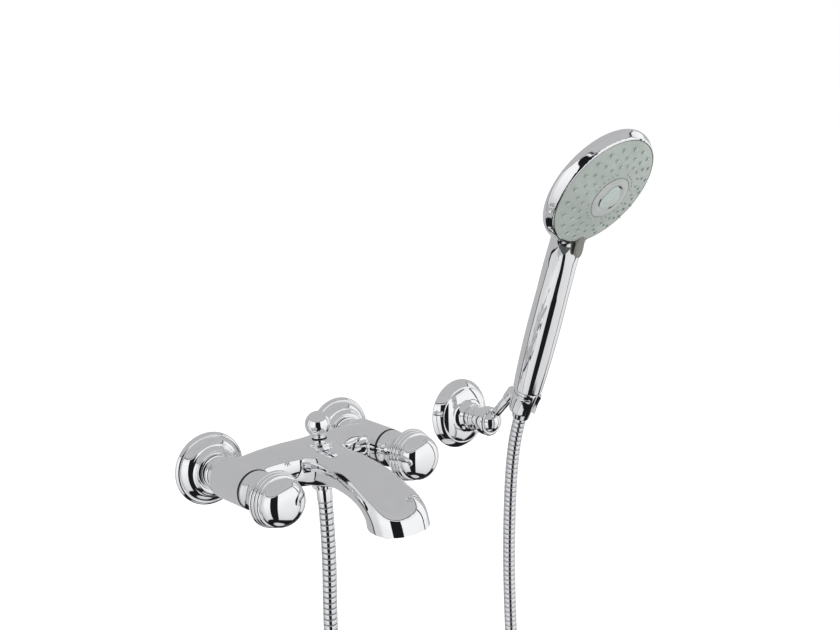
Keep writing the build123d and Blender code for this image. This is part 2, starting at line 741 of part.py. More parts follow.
spout_foot = (0, OUTLET_Y, 0)
with BuildPart() as aerator_housing:
    # threaded skirt in the socket, castellated rim for a spanner
    rim = OUTLET_BOSS_END
    profile = [
        (AERATOR_R - AERATOR_WALL, AERATOR_END),
        (AERATOR_R, AERATOR_END),
        (AERATOR_R, rim - SEAT),
        (AERATOR_THREAD_R, rim - SEAT),
        (AERATOR_THREAD_R, OUTLET_SOCKET_TOP - 2.2),
        (AERATOR_INSERT_R + SEAT, OUTLET_SOCKET_TOP - 2.2),
        (AERATOR_INSERT_R + SEAT, AERATOR_END + AERATOR_TOOTH + 1),
        (AERATOR_INSERT_R - 1.2, AERATOR_END + AERATOR_TOOTH),
        (AERATOR_INSERT_R - 1.2, AERATOR_END + AERATOR_TOOTH - 1),
        (AERATOR_R - AERATOR_WALL, AERATOR_END + AERATOR_TOOTH - 1),
    ]
    revolve(half_section(profile, spout_foot, UP), axis=Axis(spout_foot, UP))
    # the gaps between the teeth
    with BuildSketch(level_plane(AERATOR_END, OUTLET_Y)):
        with PolarLocations(AERATOR_R, AERATOR_TEETH):
            Rectangle(6, 7.2)
    extrude(amount=AERATOR_TOOTH - 1, mode=Mode.SUBTRACT)
keep(aerator_housing, "aerator_housing")

with BuildPart() as aerator_insert:
    # perforated flow former
    with BuildSketch(level_plane(AERATOR_END + AERATOR_TOOTH + 1 + SEAT, OUTLET_Y)):
        Circle(AERATOR_INSERT_R)
        for radius, count in ((3.6, 5), (7.6, 10)):
            with PolarLocations(radius, count):
                RegularPolygon(1.1, 6, mode=Mode.SUBTRACT)
    extrude(amount=5)
keep(aerator_insert, "aerator_insert")

with BuildPart() as aerator_washer:
    top = OUTLET_SOCKET_TOP - SEAT
    ring = ring_section(SPOUT_BORE_R + 1, AERATOR_THREAD_R, top - 2, top, spout_foot, UP)
    revolve(ring, axis=Axis(spout_foot, UP))
keep(aerator_washer, "aerator_washer")

# Wall bracket

bracket_foot = (BRACKET_X, 0, BRACKET_Z)
ball_centre = Vector(BRACKET_X, BALL_Y, BRACKET_Z)
LINER_R = BALL_R + 2 * SEAT + LINER_THICK
CUP_R = LINER_R + RUN
LIP_R = BALL_R + RUN


def reach(radius, distance):
    """Radius of a ball around the joint's centre, cut at a distance from the wall."""
    return sqrt(radius**2 - (distance + BALL_Y) ** 2)


with BuildPart() as bracket_plate:
    # disc on the wall with a boss that carries the rosette
    with BuildSketch(out_plane(BRACKET_X, 0, BRACKET_Z)):
        Circle(PLATE_R)
        with Locations((0, PLATE_HOLE_SPACING / 2), (0, -PLATE_HOLE_SPACING / 2)):
            Circle(PLATE_HOLE_R, mode=Mode.SUBTRACT)
    extrude(amount=PLATE_THICK)
    with BuildSketch(out_plane(BRACKET_X, PLATE_THICK, BRACKET_Z)):
        Circle(PLATE_BOSS_R)
    extrude(amount=PLATE_BOSS_END - PLATE_THICK)
    front_edges = bracket_plate.faces().sort_by(Axis.Y)[0].edges().filter_by(GeomType.CIRCLE)
    chamfer(front_edges.sort_by(SortBy.RADIUS)[-1], 0.6)
keep(bracket_plate, "bracket_plate")

with BuildPart() as bracket_screws:
    for height in (PLATE_HOLE_SPACING / 2, -PLATE_HOLE_SPACING / 2):
        at = (BRACKET_X, 0, BRACKET_Z + height)
        profile = [
            (0, PLATE_THICK - SCREW_LENGTH),
            (SCREW_R, PLATE_THICK - SCREW_LENGTH + 4),
            (SCREW_R, -SHANK_PROUD),
            (SHANK_R, -SHANK_PROUD),
            (SHANK_R, PLATE_THICK),
            (2 * SCREW_R, PLATE_THICK),
            (2 * SCREW_R, PLATE_THICK + 2.4),
            (0, PLATE_THICK + 2.4),
        ]
        revolve(half_section(profile, at, OUT), axis=Axis(at, OUT))
        with BuildSketch(out_plane(BRACKET_X, PLATE_THICK + 2.4, BRACKET_Z + height)):
            Rectangle(4.6, 1.0)
            Rectangle(1.0, 4.6)
        extrude(amount=-1.4, mode=Mode.SUBTRACT)
keep(bracket_screws, "bracket_screws")

with BuildPart() as bracket_flange:
    # deep rosette of the same family as the inlets' flanges, with a sleeve on the plate's boss
    rim = BRACKET_FLANGE_R - BRACKET_RIM
    hub = BRACKET_HUB_R
    with BuildSketch(lathe(bracket_foot, OUT)):
        with BuildLine():
            Polyline(
                (BRACKET_FLANGE_R - 1.2, 0),
                (BRACKET_FLANGE_R, 1.2),
                (BRACKET_FLANGE_R, 2.6),
            )
            RadiusArc((BRACKET_FLANGE_R, 2.6), (rim, 11.2), -12.0)
            Line((rim, 11.2), (rim, 10.6))
            Line((rim, 10.6), (rim - 0.8, 10.6))
            RadiusArc((rim - 0.8, 10.6), (hub + 8.4, 16.4), -30.0)
            RadiusArc((hub + 8.4, 16.4), (hub, BRACKET_FLANGE_DEPTH - 1), 11.0)
            Polyline(
                (hub, BRACKET_FLANGE_DEPTH - 1),
                (hub, BRACKET_FLANGE_DEPTH),
                (PLATE_BOSS_R + SEAT, BRACKET_FLANGE_DEPTH),
                (PLATE_BOSS_R + SEAT, PLATE_THICK + 4),
                (PLATE_BOSS_R + 2, PLATE_THICK + 4),
                (PLATE_BOSS_R + 2, BRACKET_FLANGE_DEPTH - 6),
                (hub + 4, 15.5),
                (rim - 3, 8.6),
                (rim + 2.6, 3.0),
                (rim + 4, 0),
                (BRACKET_FLANGE_R - 1.2, 0),
            )
        make_face()
    revolve(axis=Axis(bracket_foot, OUT))
keep(bracket_flange, "bracket_flange")

with BuildPart() as bracket_neck:
    # stud in the plate's boss, beaded neck, cup of the ball joint
    with BuildSketch(lathe(bracket_foot, OUT)):
        with BuildLine():
            Polyline(
                (0, BRACKET_FLANGE_DEPTH),
                (BRACKET_HUB_R - 0.8, BRACKET_FLANGE_DEPTH),
                (BRACKET_HUB_R - 0.8, NECK_BEAD_START),
                (NECK_BEAD_R - 1.4, NECK_BEAD_START),
            )
            ThreePointArc(
                (NECK_BEAD_R - 1.4, NECK_BEAD_START),
                (NECK_BEAD_R, NECK_BEAD_START + 1.7),
                (NECK_BEAD_R - 1.4, NECK_BEAD_START + 3.4),
            )
            Polyline(
                (NECK_BEAD_R - 1.4, NECK_BEAD_START + 3.4),
                (BRACKET_NECK_R, NECK_BEAD_START + 3.4),
                (BRACKET_NECK_R, COLLAR_START),
                (CUP_R + 0.75, COLLAR_START),
                (CUP_R + 0.75, -BALL_Y),
                (CUP_R, -BALL_Y),
            )
            ThreePointArc(
                (CUP_R, -BALL_Y),
                (reach(CUP_R, CUP_FLOOR + 4), CUP_FLOOR + 4),
                (reach(CUP_R, CUP_FLOOR), CUP_FLOOR),
            )
            Polyline(
                (reach(CUP_R, CUP_FLOOR), CUP_FLOOR),
                (0, CUP_FLOOR),
                (0, BRACKET_FLANGE_DEPTH),
            )
        make_face()
    revolve(axis=Axis(bracket_foot, OUT))
keep(bracket_neck, "bracket_neck")

with BuildPart() as bracket_collar:
    # ring nut that holds the ball in its cup
    with BuildSketch(lathe(bracket_foot, OUT)):
        with BuildLine():
            Polyline(
                (CUP_R + 0.8, COLLAR_START),
                (COLLAR_R - 0.8, COLLAR_START),
                (COLLAR_R, COLLAR_START + 0.8),
                (COLLAR_R, COLLAR_END - 1.6),
                (COLLAR_R - 1.6, COLLAR_END),
                (reach(LIP_R, COLLAR_END), COLLAR_END),
            )
            ThreePointArc(
                (reach(LIP_R, COLLAR_END), COLLAR_END),
                (reach(LIP_R, COLLAR_END - 0.8), COLLAR_END - 0.8),
                (reach(LIP_R, LIP_START), LIP_START),
            )
            Line((reach(LIP_R, LIP_START), LIP_START), (reach(CUP_R, LIP_START), LIP_START))
            ThreePointArc(
                (reach(CUP_R, LIP_START), LIP_START),
                (reach(CUP_R, LIP_START - 1.5), LIP_START - 1.5),
                (CUP_R, -BALL_Y),
            )
            Polyline(
                (CUP_R, -BALL_Y),
                (CUP_R + 0.8, -BALL_Y),
                (CUP_R + 0.8, COLLAR_START),
            )
        make_face()
    revolve(axis=Axis(bracket_foot, OUT))
keep(bracket_collar, "bracket_collar")

with BuildPart() as ball_liner:
    # friction cup behind the ball
    with BuildSketch(lathe(bracket_foot, OUT)):
        with BuildLine():
            inner = BALL_R + 2 * SEAT
            Line((reach(inner, LINER_START), LINER_START), (reach(LINER_R, LINER_START), LINER_START))
            ThreePointArc(
                (reach(LINER_R, LINER_START), LINER_START),
                (reach(LINER_R, 49), 49),
                (reach(LINER_R, LINER_END), LINER_END),
            )
            Line((reach(LINER_R, LINER_END), LINER_END), (reach(inner, LINER_END), LINER_END))
            ThreePointArc(
                (reach(inner, LINER_END), LINER_END),
                (reach(inner, 49), 49),
                (reach(inner, LINER_START), LINER_START),
            )
        make_face()
    revolve(axis=Axis(bracket_foot, OUT))
keep(ball_liner, "ball_liner")

# Arm and holder

rise = radians(ARM_RISE)
arm_way = Vector(0, -cos(rise), sin(rise))
lean = radians(GRIP_LEAN)
grip_foot = Vector(BRACKET_X, GRIP_START_Y, GRIP_START_Z)
grip_way = Vector(0, -sin(lean), cos(lean))


def grip_point(along, forward=0.0):
    """Point on the hand shower's grip: along its axis and forward of it."""
    return grip_foot + grip_way * along + Vector(0, -cos(lean), -sin(lean)) * forward


def grip_plane(along, forward=0.0, tip=0.0):
    """Plane across the grip, tipped forward by an angle; local Y points to the back."""
    way = radians(GRIP_LEAN + tip)
    return Plane(
        origin=grip_point(along, forward), x_dir=(1, 0, 0), z_dir=(0, -sin(way), cos(way))
    )


def cone_radius(along):
    """Radius of the hose nut at a place along the grip's axis."""
    return CONE_END_R + (CONE_TOP_R - CONE_END_R) * (along - CONE_END) / (CONE_TOP - CONE_END)


with BuildPart() as bracket_arm:
    # ball, waist, rod and the threaded end in the holder
    profile = [
        (ARM_WAIST_R, BALL_R - 2),
        (ARM_WAIST_R, WAIST_END),
        (ARM_R, WAIST_END + 2.2),
        (ARM_R, ARM_END),
        (ARM_STUD_R, ARM_END),
        (ARM_STUD_R, ARM_STUD_END),
        (0, ARM_STUD_END),
        (0, BALL_R - 2),
    ]
    revolve(half_section(profile, tuple(ball_centre), tuple(arm_way)),
            axis=Axis(tuple(ball_centre), tuple(arm_way)))
    with Locations(Plane(origin=ball_centre, z_dir=arm_way)):
        Sphere(BALL_R)
keep(bracket_arm, "bracket_arm")

with BuildPart() as handset_holder:
    # cone that takes the hose nut, open to the front, and the boss for the arm
    profile = [
        (HOLDER_TOP_R, HOLDER_TOP),
        (HOLDER_TOP_R, HOLDER_TOP - 2.4),
        (HOLDER_TOP_R - 0.8, HOLDER_TOP - 3.2),
        (HOLDER_END_R + 0.5, HOLDER_END + 3.0),
        (HOLDER_END_R + 0.5, HOLDER_END),
        (0, HOLDER_END),
        (0, HOLDER_TOP),
    ]
    revolve(half_section(profile, tuple(grip_foot), tuple(grip_way)),
            axis=Axis(tuple(grip_foot), tuple(grip_way)))
    with BuildSketch(Plane(origin=ball_centre + arm_way * ARM_END, x_dir=(1, 0, 0), z_dir=arm_way)):
        Circle(BOSS_R)
    extrude(amount=14)
    with BuildSketch(Plane(origin=ball_centre + arm_way * (ARM_END - 1), x_dir=(1, 0, 0),
                           z_dir=arm_way)):
        Circle(ARM_STUD_R + SEAT)
    extrude(amount=ARM_STUD_END - ARM_END + 1 + SEAT, mode=Mode.SUBTRACT)
    hollow = [
        (cone_radius(HOLDER_TOP + 2) + RUN, HOLDER_TOP + 2),
        (cone_radius(HOLDER_END - 2) + RUN, HOLDER_END - 2),
        (0, HOLDER_END - 2),
        (0, HOLDER_TOP + 2),
    ]
    revolve(half_section(hollow, tuple(grip_foot), tuple(grip_way)),
            axis=Axis(tuple(grip_foot), tuple(grip_way)), mode=Mode.SUBTRACT)
    with BuildSketch(grip_plane(HOLDER_END - 2)):
        with Locations((0, -15)):
            Rectangle(HOLDER_SLOT, 30)
    extrude(amount=HOLDER_TOP - HOLDER_END + 4, mode=Mode.SUBTRACT)
keep(handset_holder, "handset_holder")

# Hand shower

# Grip radii along its axis, and the sections of the shoulders that run into the head:
# along the axis, forward of it, tip, half width, half depth
GRIP_RADII = ((15.6, 1.0), (17.1, 50.0), (17.0, 92.0), (16.0, 130.0), (14.9, 158.0))
SHOULDERS = (
    (156.0, 0.0, 0.0, 14.95, 14.9),
    (171.0, 1.0, 4.0, 17.4, 13.6),
    (187.0, 4.0, 10.0, 26.0, 10.4),
    (206.0, 9.5, 14.0, 36.0, 8.0),
)

head_tip = radians(GRIP_LEAN + HEAD_TILT + 0.5)
face_way = Vector(0, -cos(head_tip), -sin(head_tip))
face_centre = grip_point(HEAD_CENTRE_UP, HEAD_CENTRE_OUT)


def face_plane(depth=0.0):
    """Plane parallel to the spray face, behind it by a depth; local Y points up the face."""
    return Plane(origin=face_centre - face_way * depth, x_dir=(1, 0, 0), z_dir=face_way)


passage_end = grip_point(HEAD_CENTRE_UP - PASSAGE_BELOW, HEAD_CENTRE_OUT - PASSAGE_BEHIND)
grip_axis = Axis(tuple(grip_foot), tuple(grip_way))
head_axis = Axis(tuple(face_centre), tuple(face_way))

with BuildPart() as handset_form:
    # outer form: grip, shoulders and round head with a rolled rim and a domed back
    with BuildSketch(lathe(tuple(grip_foot), tuple(grip_way))):
        with BuildLine():
            Polyline((0, GRIP_RADII[-1][1]), (0, 0), (14.8, 0), GRIP_RADII[0])
            Spline(*GRIP_RADII)
            Line(GRIP_RADII[-1], (0, GRIP_RADII[-1][1]))
        make_face()
    revolve(axis=grip_axis)
    for along, forward, tip, half_width, half_depth in SHOULDERS:
        with BuildSketch(grip_plane(along, forward, tip)):
            Ellipse(half_width, half_depth)
    loft()
    back_rise = HEAD_BACK - HEAD_DEPTH
    back_radius = ((HEAD_R - 4) ** 2 + back_rise**2) / (2 * back_rise)
    with BuildSketch(lathe(tuple(face_centre), tuple(face_way))):
        with BuildLine():
            Line((0, 0), (HEAD_R - 2.6, 0))
            RadiusArc((HEAD_R - 2.6, 0), (HEAD_R, -2.6), 2.6)
            Line((HEAD_R, -2.6), (HEAD_R, -HEAD_DEPTH + 3))
            RadiusArc((HEAD_R, -HEAD_DEPTH + 3), (HEAD_R - 4, -HEAD_DEPTH), 4.4)
            RadiusArc((HEAD_R - 4, -HEAD_DEPTH), (0, -HEAD_BACK), back_radius)
            Line((0, -HEAD_BACK), (0, 0))
        make_face()
    revolve(axis=head_axis)


def marker_sketch(radius):
    """Triangle beside the selector, on a plane inside the left shoulder."""
    with BuildSketch(face_plane(MARKER_DEPTH)) as mark:
        with Locations((MARKER_X, MARKER_Y)):
            RegularPolygon(radius, 3, rotation=-90)
    return mark.sketch


with BuildPart() as handset_shell:
    add(handset_form.part)
    # chamber behind the face, stepped for the flow disc
    chamber = [
        (0, 1),
        (FACE_R + RUN, 1),
        (FACE_R + RUN, -FACE_THICK - RUN),
        (FLOW_R + SEAT, -FACE_THICK - RUN),
        (FLOW_R + SEAT, -FLOW_BACK),
        (FLOW_R - 4, -FLOW_BACK),
        (FLOW_R - 12, -FLOW_BACK - 3),
        (20, -HEAD_BACK + 2.6),
        (0, -HEAD_BACK + 2.6),
    ]
    chamber_form = half_section(chamber, tuple(face_centre), tuple(face_way))
    revolve(chamber_form, axis=head_axis, mode=Mode.SUBTRACT)
    # hollow grip and the passage to the chamber
    with BuildSketch(grip_plane(-1)):
        Circle(GRIP_BORE_R)
    extrude(amount=GRIP_BORE_END + 1, mode=Mode.SUBTRACT)
    with BuildSketch(grip_plane(GRIP_BORE_END - 1)):
        Circle(WATER_TUBE_R + SEAT)
    extrude(amount=9, mode=Mode.SUBTRACT)
    with BuildLine():
        passage = Line(grip_point(GRIP_BORE_END + 6), passage_end)
    with BuildSketch(Plane(origin=passage @ 0, z_dir=passage % 0)):
        Circle(WATER_TUBE_R - 2)
    sweep(path=passage, mode=Mode.SUBTRACT)
    extrude(marker_sketch(MARKER_R), amount=30, mode=Mode.SUBTRACT)
keep(handset_shell, "handset_shell")

with BuildPart() as handset_marker:
    add(handset_form.part)
    extrude(marker_sketch(MARKER_R - SEAT), amount=30, mode=Mode.INTERSECT)
keep(handset_marker, "handset_marker")

def turn_on_grip(profile):
    """Half section through (radius, distance along the grip) points."""
    return half_section(profile, tuple(grip_foot), tuple(grip_way))


def turn_on_head(profile):
    """Half section through (radius, distance in front of the spray face) points."""
    return half_section(profile, tuple(face_centre), tuple(face_way))


with BuildPart() as handset_inlet:
    # threaded spigot, plug in the grip and socket for the water tube
    profile = [
        (WATER_TUBE_R - 2, -13),
        (SPIGOT_R, -13),
        (SPIGOT_R, -0.6),
        (GRIP_BORE_R - SEAT, -0.6),
        (GRIP_BORE_R - SEAT, 12),
        (WATER_TUBE_R + SEAT, 12),
        (WATER_TUBE_R + SEAT, 4),
        (WATER_TUBE_R - 2, 4),
    ]
    revolve(turn_on_grip(profile), axis=grip_axis)
keep(handset_inlet, "handset_inlet")

with BuildPart() as handset_tube:
    tube = [(WATER_TUBE_R - 2, 4.1), (WATER_TUBE_R, 4.1)]
    tube += [(WATER_TUBE_R, GRIP_BORE_END + 7.9), (WATER_TUBE_R - 2, GRIP_BORE_END + 7.9)]
    revolve(turn_on_grip(tube), axis=grip_axis)
keep(handset_tube, "handset_tube")

with BuildPart() as hose_cone_nut:
    # conical nut that sits in the holder, with the washer's seat inside
    profile = [
        (SPIGOT_R + SEAT, CONE_TOP),
        (CONE_TOP_R - 0.6, CONE_TOP),
        (CONE_TOP_R, CONE_TOP - 0.8),
        (CONE_END_R, CONE_END + 0.6),
        (CONE_END_R - 0.6, CONE_END),
        (HOSE_BORE_R + SEAT, CONE_END),
        (HOSE_BORE_R + SEAT, -15.1),
        (SPIGOT_R + SEAT, -15.1),
    ]
    revolve(turn_on_grip(profile), axis=grip_axis)
keep(hose_cone_nut, "hose_cone_nut")

with BuildPart() as hose_washer_upper:
    washer = [(WATER_TUBE_R - 2, -15.1), (SPIGOT_R, -15.1), (SPIGOT_R, -13.1)]
    revolve(turn_on_grip([*washer, (WATER_TUBE_R - 2, -13.1)]), axis=grip_axis)
keep(hose_washer_upper, "hose_washer_upper")

with BuildPart() as flow_disc:
    # fixed disc with the ports that the turning face selects, and its pivot
    with BuildSketch(face_plane(FLOW_BACK)):
        Circle(FLOW_R)
        with PolarLocations(FLOW_PORT_RING, 3):
            Circle(FLOW_PORT_R, mode=Mode.SUBTRACT)
    extrude(amount=FLOW_BACK - FACE_THICK - 2 * RUN)
    with BuildSketch(face_plane(FACE_THICK + 2 * RUN)):
        Circle(PIVOT_R)
    extrude(amount=FACE_THICK + RUN)
keep(flow_disc, "flow_disc")

with BuildPart() as spray_face:
    # turning face plate, hollow behind, with the selector's tongue over the rim
    with BuildSketch(face_plane(FACE_THICK)):
        Circle(FACE_R)
    extrude(amount=FACE_THICK)
    with BuildSketch(Plane(origin=face_centre, x_dir=tuple(face_plane().y_dir), z_dir=(1, 0, 0))):
        with BuildLine():
            Polyline(
                (-FACE_R + 11, -1),
                (-FACE_R + 11, 0.2),
                (-FACE_R + 1, 4.0),
                (-TONGUE_END + 1, 8.8),
                (-TONGUE_END, 7.8),
                (-TONGUE_END, 6.2),
                (-HEAD_R + 1.5, 1.5),
                (-FACE_R + 1, 0.8),
                (-FACE_R + 1, -1),
                close=True,
            )
        make_face()
    extrude(amount=TONGUE_WIDTH / 2, both=True)
    with BuildSketch(face_plane(FACE_THICK + 1)):
        Circle(PIVOT_R + SHAFT)
    extrude(amount=FACE_THICK + 2, mode=Mode.SUBTRACT)
    with BuildSketch(face_plane(FACE_THICK + 1)):
        Circle(FACE_R - 4)
        Circle(RECESS_INNER_R, mode=Mode.SUBTRACT)
    extrude(amount=FACE_THICK, mode=Mode.SUBTRACT)
keep(spray_face, "spray_face")

with BuildPart() as spray_nozzles:
    # rubber mat behind the face, with its nozzles through the plate
    for ring, count, start in NOZZLE_RINGS:
        with BuildSketch(face_plane()):
            with PolarLocations(ring, count, start_angle=start):
                RegularPolygon(NOZZLE_R, 6)
        extrude(amount=NOZZLE_HEIGHT, taper=12)
keep(spray_nozzles, "spray_nozzles")

with BuildPart() as centre_ring:
    ring = [
        (PIVOT_R + 2.5, 0),
        (CENTRE_R, 0),
        (CENTRE_R - 0.5, 0.8),
        (PIVOT_R + 2.5, 1.4),
    ]
    revolve(turn_on_head(ring), axis=head_axis)
keep(centre_ring, "centre_ring")

with BuildPart() as centre_jet:
    # rounded triangular jet plate with three slots
    with BuildSketch(face_plane(-RUN)):
        Circle(PIVOT_R + 2.2)
    extrude(amount=1.2)
    with BuildSketch(face_plane(-RUN - 1.2)) as triangle:
        RegularPolygon(JET_R, 3, rotation=90)
        fillet(triangle.vertices(), 3.2)
    extrude(amount=1.0)
    with BuildSketch(face_plane(-RUN - 1.2)):
        with PolarLocations(5.2, 3, start_angle=30):
            Rectangle(1.2, 6.0)
    extrude(amount=2, mode=Mode.SUBTRACT)
keep(centre_jet, "centre_jet")

# Hose, in three lengths that meet face to face

hose_start = (0, DIVERTER_Y, ferrule_end)
hose_end = tuple(grip_point(CONE_END))
bend_top = grip_point(CONE_END - 24)
bend_below = Vector(BRACKET_X, -84.5, -72)
first_split = (BRACKET_X, -68.75, -272.5)
second_split = tuple((bend_top + bend_below) / 2)

hose_routes = {
    "hose_lower": (
        hose_start,
        (0, DIVERTER_Y, -80),
        (-6, -80, -170),
        (-8, -77, -330),
        (-6, -76, -498),
        (66, -74, -566),
        (168, -71, -566),
        (240, -68, -498),
        (BRACKET_X, -67.5, -330),
        first_split,
    ),
    "hose_middle": (
        first_split,
        (BRACKET_X, -70, -215),
        (BRACKET_X, -76, -138),
        tuple(bend_below),
        second_split,
    ),
    "hose_upper": (second_split, tuple(bend_top), hose_end),
}


def bend_radii(points):
    """Largest fair radius of each bend of a route."""
    radii = []
    for before, corner, after in zip(points, points[1:], points[2:]):
        run_in = Vector(*corner) - Vector(*before)
        run_out = Vector(*after) - Vector(*corner)
        half_turn = radians(run_in.get_angle(run_out)) / 2
        radii.append(0.45 * min(run_in.length, run_out.length) / tan(half_turn))
    return radii


hose_length = 0
for name, points in hose_routes.items():
    with BuildPart() as hose:
        with BuildLine():
            radii = bend_radii(points)
            route = FilletPolyline(*points, radius=radii)
        print(name, "bend radii", [round(radius) for radius in radii])
        hose_length += route.length
        # each rib is a groove, two crests and a groove
        ribs = round(route.length / HOSE_RIB_PITCH)
        for rib in range(ribs):
            for share, radius in RIB_PROFILE:
                place = (rib + share) / ribs
                with BuildSketch(Plane(origin=route @ place, x_dir=(0, 1, 0), z_dir=route % place)):
                    RegularPolygon(radius, HOSE_SIDES)
        with BuildSketch(Plane(origin=route @ 1, x_dir=(0, 1, 0), z_dir=route % 1)):
            RegularPolygon(HOSE_GROOVE_R, HOSE_SIDES)
        loft(ruled=True)
        with BuildSketch(Plane(origin=route @ 0, x_dir=(0, 1, 0), z_dir=route % 0)):
            Circle(HOSE_BORE_R)
        sweep(path=route, mode=Mode.SUBTRACT)
    keep(hose, name)
print("hose length", round(hose_length))
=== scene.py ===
"""Bath shower mixer: dressed model of the tap, its hose, its wall bracket and its hand shower."""
from math import acos, atan2, cos, pi, radians, sin, sqrt

import bmesh
import bpy
from mathutils import Matrix, Vector


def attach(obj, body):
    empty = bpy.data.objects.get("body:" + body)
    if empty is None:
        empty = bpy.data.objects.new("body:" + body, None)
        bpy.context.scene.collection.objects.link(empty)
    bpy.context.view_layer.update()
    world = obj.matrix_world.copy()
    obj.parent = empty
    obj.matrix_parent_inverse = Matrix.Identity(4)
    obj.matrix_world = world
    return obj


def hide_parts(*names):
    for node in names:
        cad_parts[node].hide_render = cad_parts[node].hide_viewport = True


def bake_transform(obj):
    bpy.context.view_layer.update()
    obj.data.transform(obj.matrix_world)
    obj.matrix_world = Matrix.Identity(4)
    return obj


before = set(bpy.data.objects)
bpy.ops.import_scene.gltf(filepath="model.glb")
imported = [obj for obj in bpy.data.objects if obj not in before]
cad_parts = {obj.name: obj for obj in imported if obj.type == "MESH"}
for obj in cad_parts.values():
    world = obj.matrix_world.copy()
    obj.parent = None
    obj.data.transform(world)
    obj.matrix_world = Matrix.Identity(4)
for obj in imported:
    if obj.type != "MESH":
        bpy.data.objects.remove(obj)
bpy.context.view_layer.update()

MM = 0.001
OUT = Vector((0, -1, 0))
UP = Vector((0, 0, 1))

# Places shared with the CAD model, in millimetres

INLET_X = 75.0
DIVERTER_Y = -84.0
BRACKET = Vector((242.3, 0.0, -21.0))
BALL = Vector((242.3, -53.0, -21.0))
ARM_WAY = Vector((0, -cos(radians(44)), sin(radians(44))))
GRIP_LEAN = radians(22)
GRIP_FOOT = Vector((242.3, -116.9, 27.1))
GRIP_WAY = Vector((0, -sin(GRIP_LEAN), cos(GRIP_LEAN)))
GRIP_FRONT = Vector((0, -cos(GRIP_LEAN), -sin(GRIP_LEAN)))
FACE_TIP = radians(36.5)
FACE_WAY = Vector((0, -cos(FACE_TIP), -sin(FACE_TIP)))
FACE_UP = Vector((0, -sin(FACE_TIP), cos(FACE_TIP)))


def grip_point(along, forward=0.0):
    """Point on the grip: along its axis and forward of it."""
    return GRIP_FOOT + GRIP_WAY * along + GRIP_FRONT * forward


FACE_CENTRE = grip_point(235.6, 29.2)
CROWN_R = 58.4
CROWN_HEIGHT = 9.4


def face_point(across, up, out=0.0):
    """Point on the spray face: to the right, up the face and in front of it."""
    return FACE_CENTRE + Vector((1, 0, 0)) * across + FACE_UP * up + FACE_WAY * out


def crown(reach):
    """Height of the domed spray plate at a distance from its middle."""
    return CROWN_HEIGHT * max(1 - (reach / CROWN_R) ** 2, 0)


# Camera, in degrees and millimetres, with its focal length in the photograph's pixels

CAMERA_AZIMUTH = -38.23
CAMERA_ELEVATION = 10.53
CAMERA_ROLL = -4.14
CAMERA_AIM = Vector((149.31, -60.0, 117.08))
CAMERA_DISTANCE = 1009.96
FOCAL_PIXELS = 978.15
PICTURE_WIDTH = 840
SENSOR_WIDTH = 36


def place_camera():
    """Camera at the photograph's viewing angle, fitted to the round flanges, barrels and knobs."""
    azimuth, elevation, roll = map(radians, (CAMERA_AZIMUTH, CAMERA_ELEVATION, CAMERA_ROLL))
    back = Vector((sin(azimuth) * cos(elevation), -cos(azimuth) * cos(elevation), sin(elevation)))
    right = Vector((cos(azimuth), sin(azimuth), 0))
    above = back.cross(right)
    side = right * cos(roll) + above * sin(roll)
    top = back.cross(side)
    spot = (CAMERA_AIM + back * CAMERA_DISTANCE) * MM
    lens = bpy.data.cameras.new("photo_camera")
    lens.sensor_width = SENSOR_WIDTH
    lens.lens = FOCAL_PIXELS * SENSOR_WIDTH / PICTURE_WIDTH
    lens.clip_start = 0.05
    camera = bpy.data.objects.new("photo_camera", lens)
    bpy.context.scene.collection.objects.link(camera)
    turn = Matrix((side, top, back)).transposed()
    camera.matrix_world = Matrix.Translation(spot) @ turn.to_4x4()
    bpy.context.scene.camera = camera


place_camera()


# Hose

HOSE_LOWER = (
    (0, -84, -34.2), (0, -84, -80), (-6, -80, -170), (-8, -77, -330), (-6, -76, -498),
    (66, -74, -566), (168, -71, -566), (240, -68, -498), (242.3, -67.5, -330),
    (242.3, -68.75, -272.5),
)
BEND_TOP = grip_point(-60)
BEND_BELOW = Vector((242.3, -84.5, -72))
SPLIT = tuple((BEND_TOP + BEND_BELOW) / 2)
HOSE_MIDDLE = (
    (242.3, -68.75, -272.5), (242.3, -70, -215), (242.3, -76, -138), tuple(BEND_BELOW), SPLIT,
)
HOSE_UPPER = (SPLIT, tuple(BEND_TOP), tuple(grip_point(-36)))
RIB_PITCH = 5.7
HOSE_SIDES = 28


def fair_line(points):
    """Smooth line through a route's points: the points of its NURBS spline, closely spaced."""
    curve = bpy.data.curves.new("route", "CURVE")
    curve.dimensions = "3D"
    curve.resolution_u = 64
    spline = curve.splines.new("NURBS")
    spline.points.add(len(points) - 1)
    for target, point in zip(spline.points, points):
        target.co = (*[value * MM for value in point], 1)
    spline.order_u = 3
    spline.use_endpoint_u = True
    holder = bpy.data.objects.new("route", curve)
    bpy.context.scene.collection.objects.link(holder)
    mesh = bpy.data.meshes.new_from_object(holder)
    line = [vertex.co.copy() for vertex in mesh.vertices]
    bpy.data.objects.remove(holder)
    bpy.data.curves.remove(curve)
    bpy.data.meshes.remove(mesh)
    return line


def stretch_of(line):
    """Running length at each point of a line."""
    run = [0.0]
    for before, after in zip(line, line[1:]):
        run.append(run[-1] + (after - before).length)
    return run


# one rib: share of the pitch and radius in millimetres
RIB = ((0.0, 6.2), (0.05, 6.25), (0.10, 6.75), (0.18, 6.95), (0.4, 7.0), (0.75, 6.98),
       (0.88, 6.85), (0.95, 6.35))


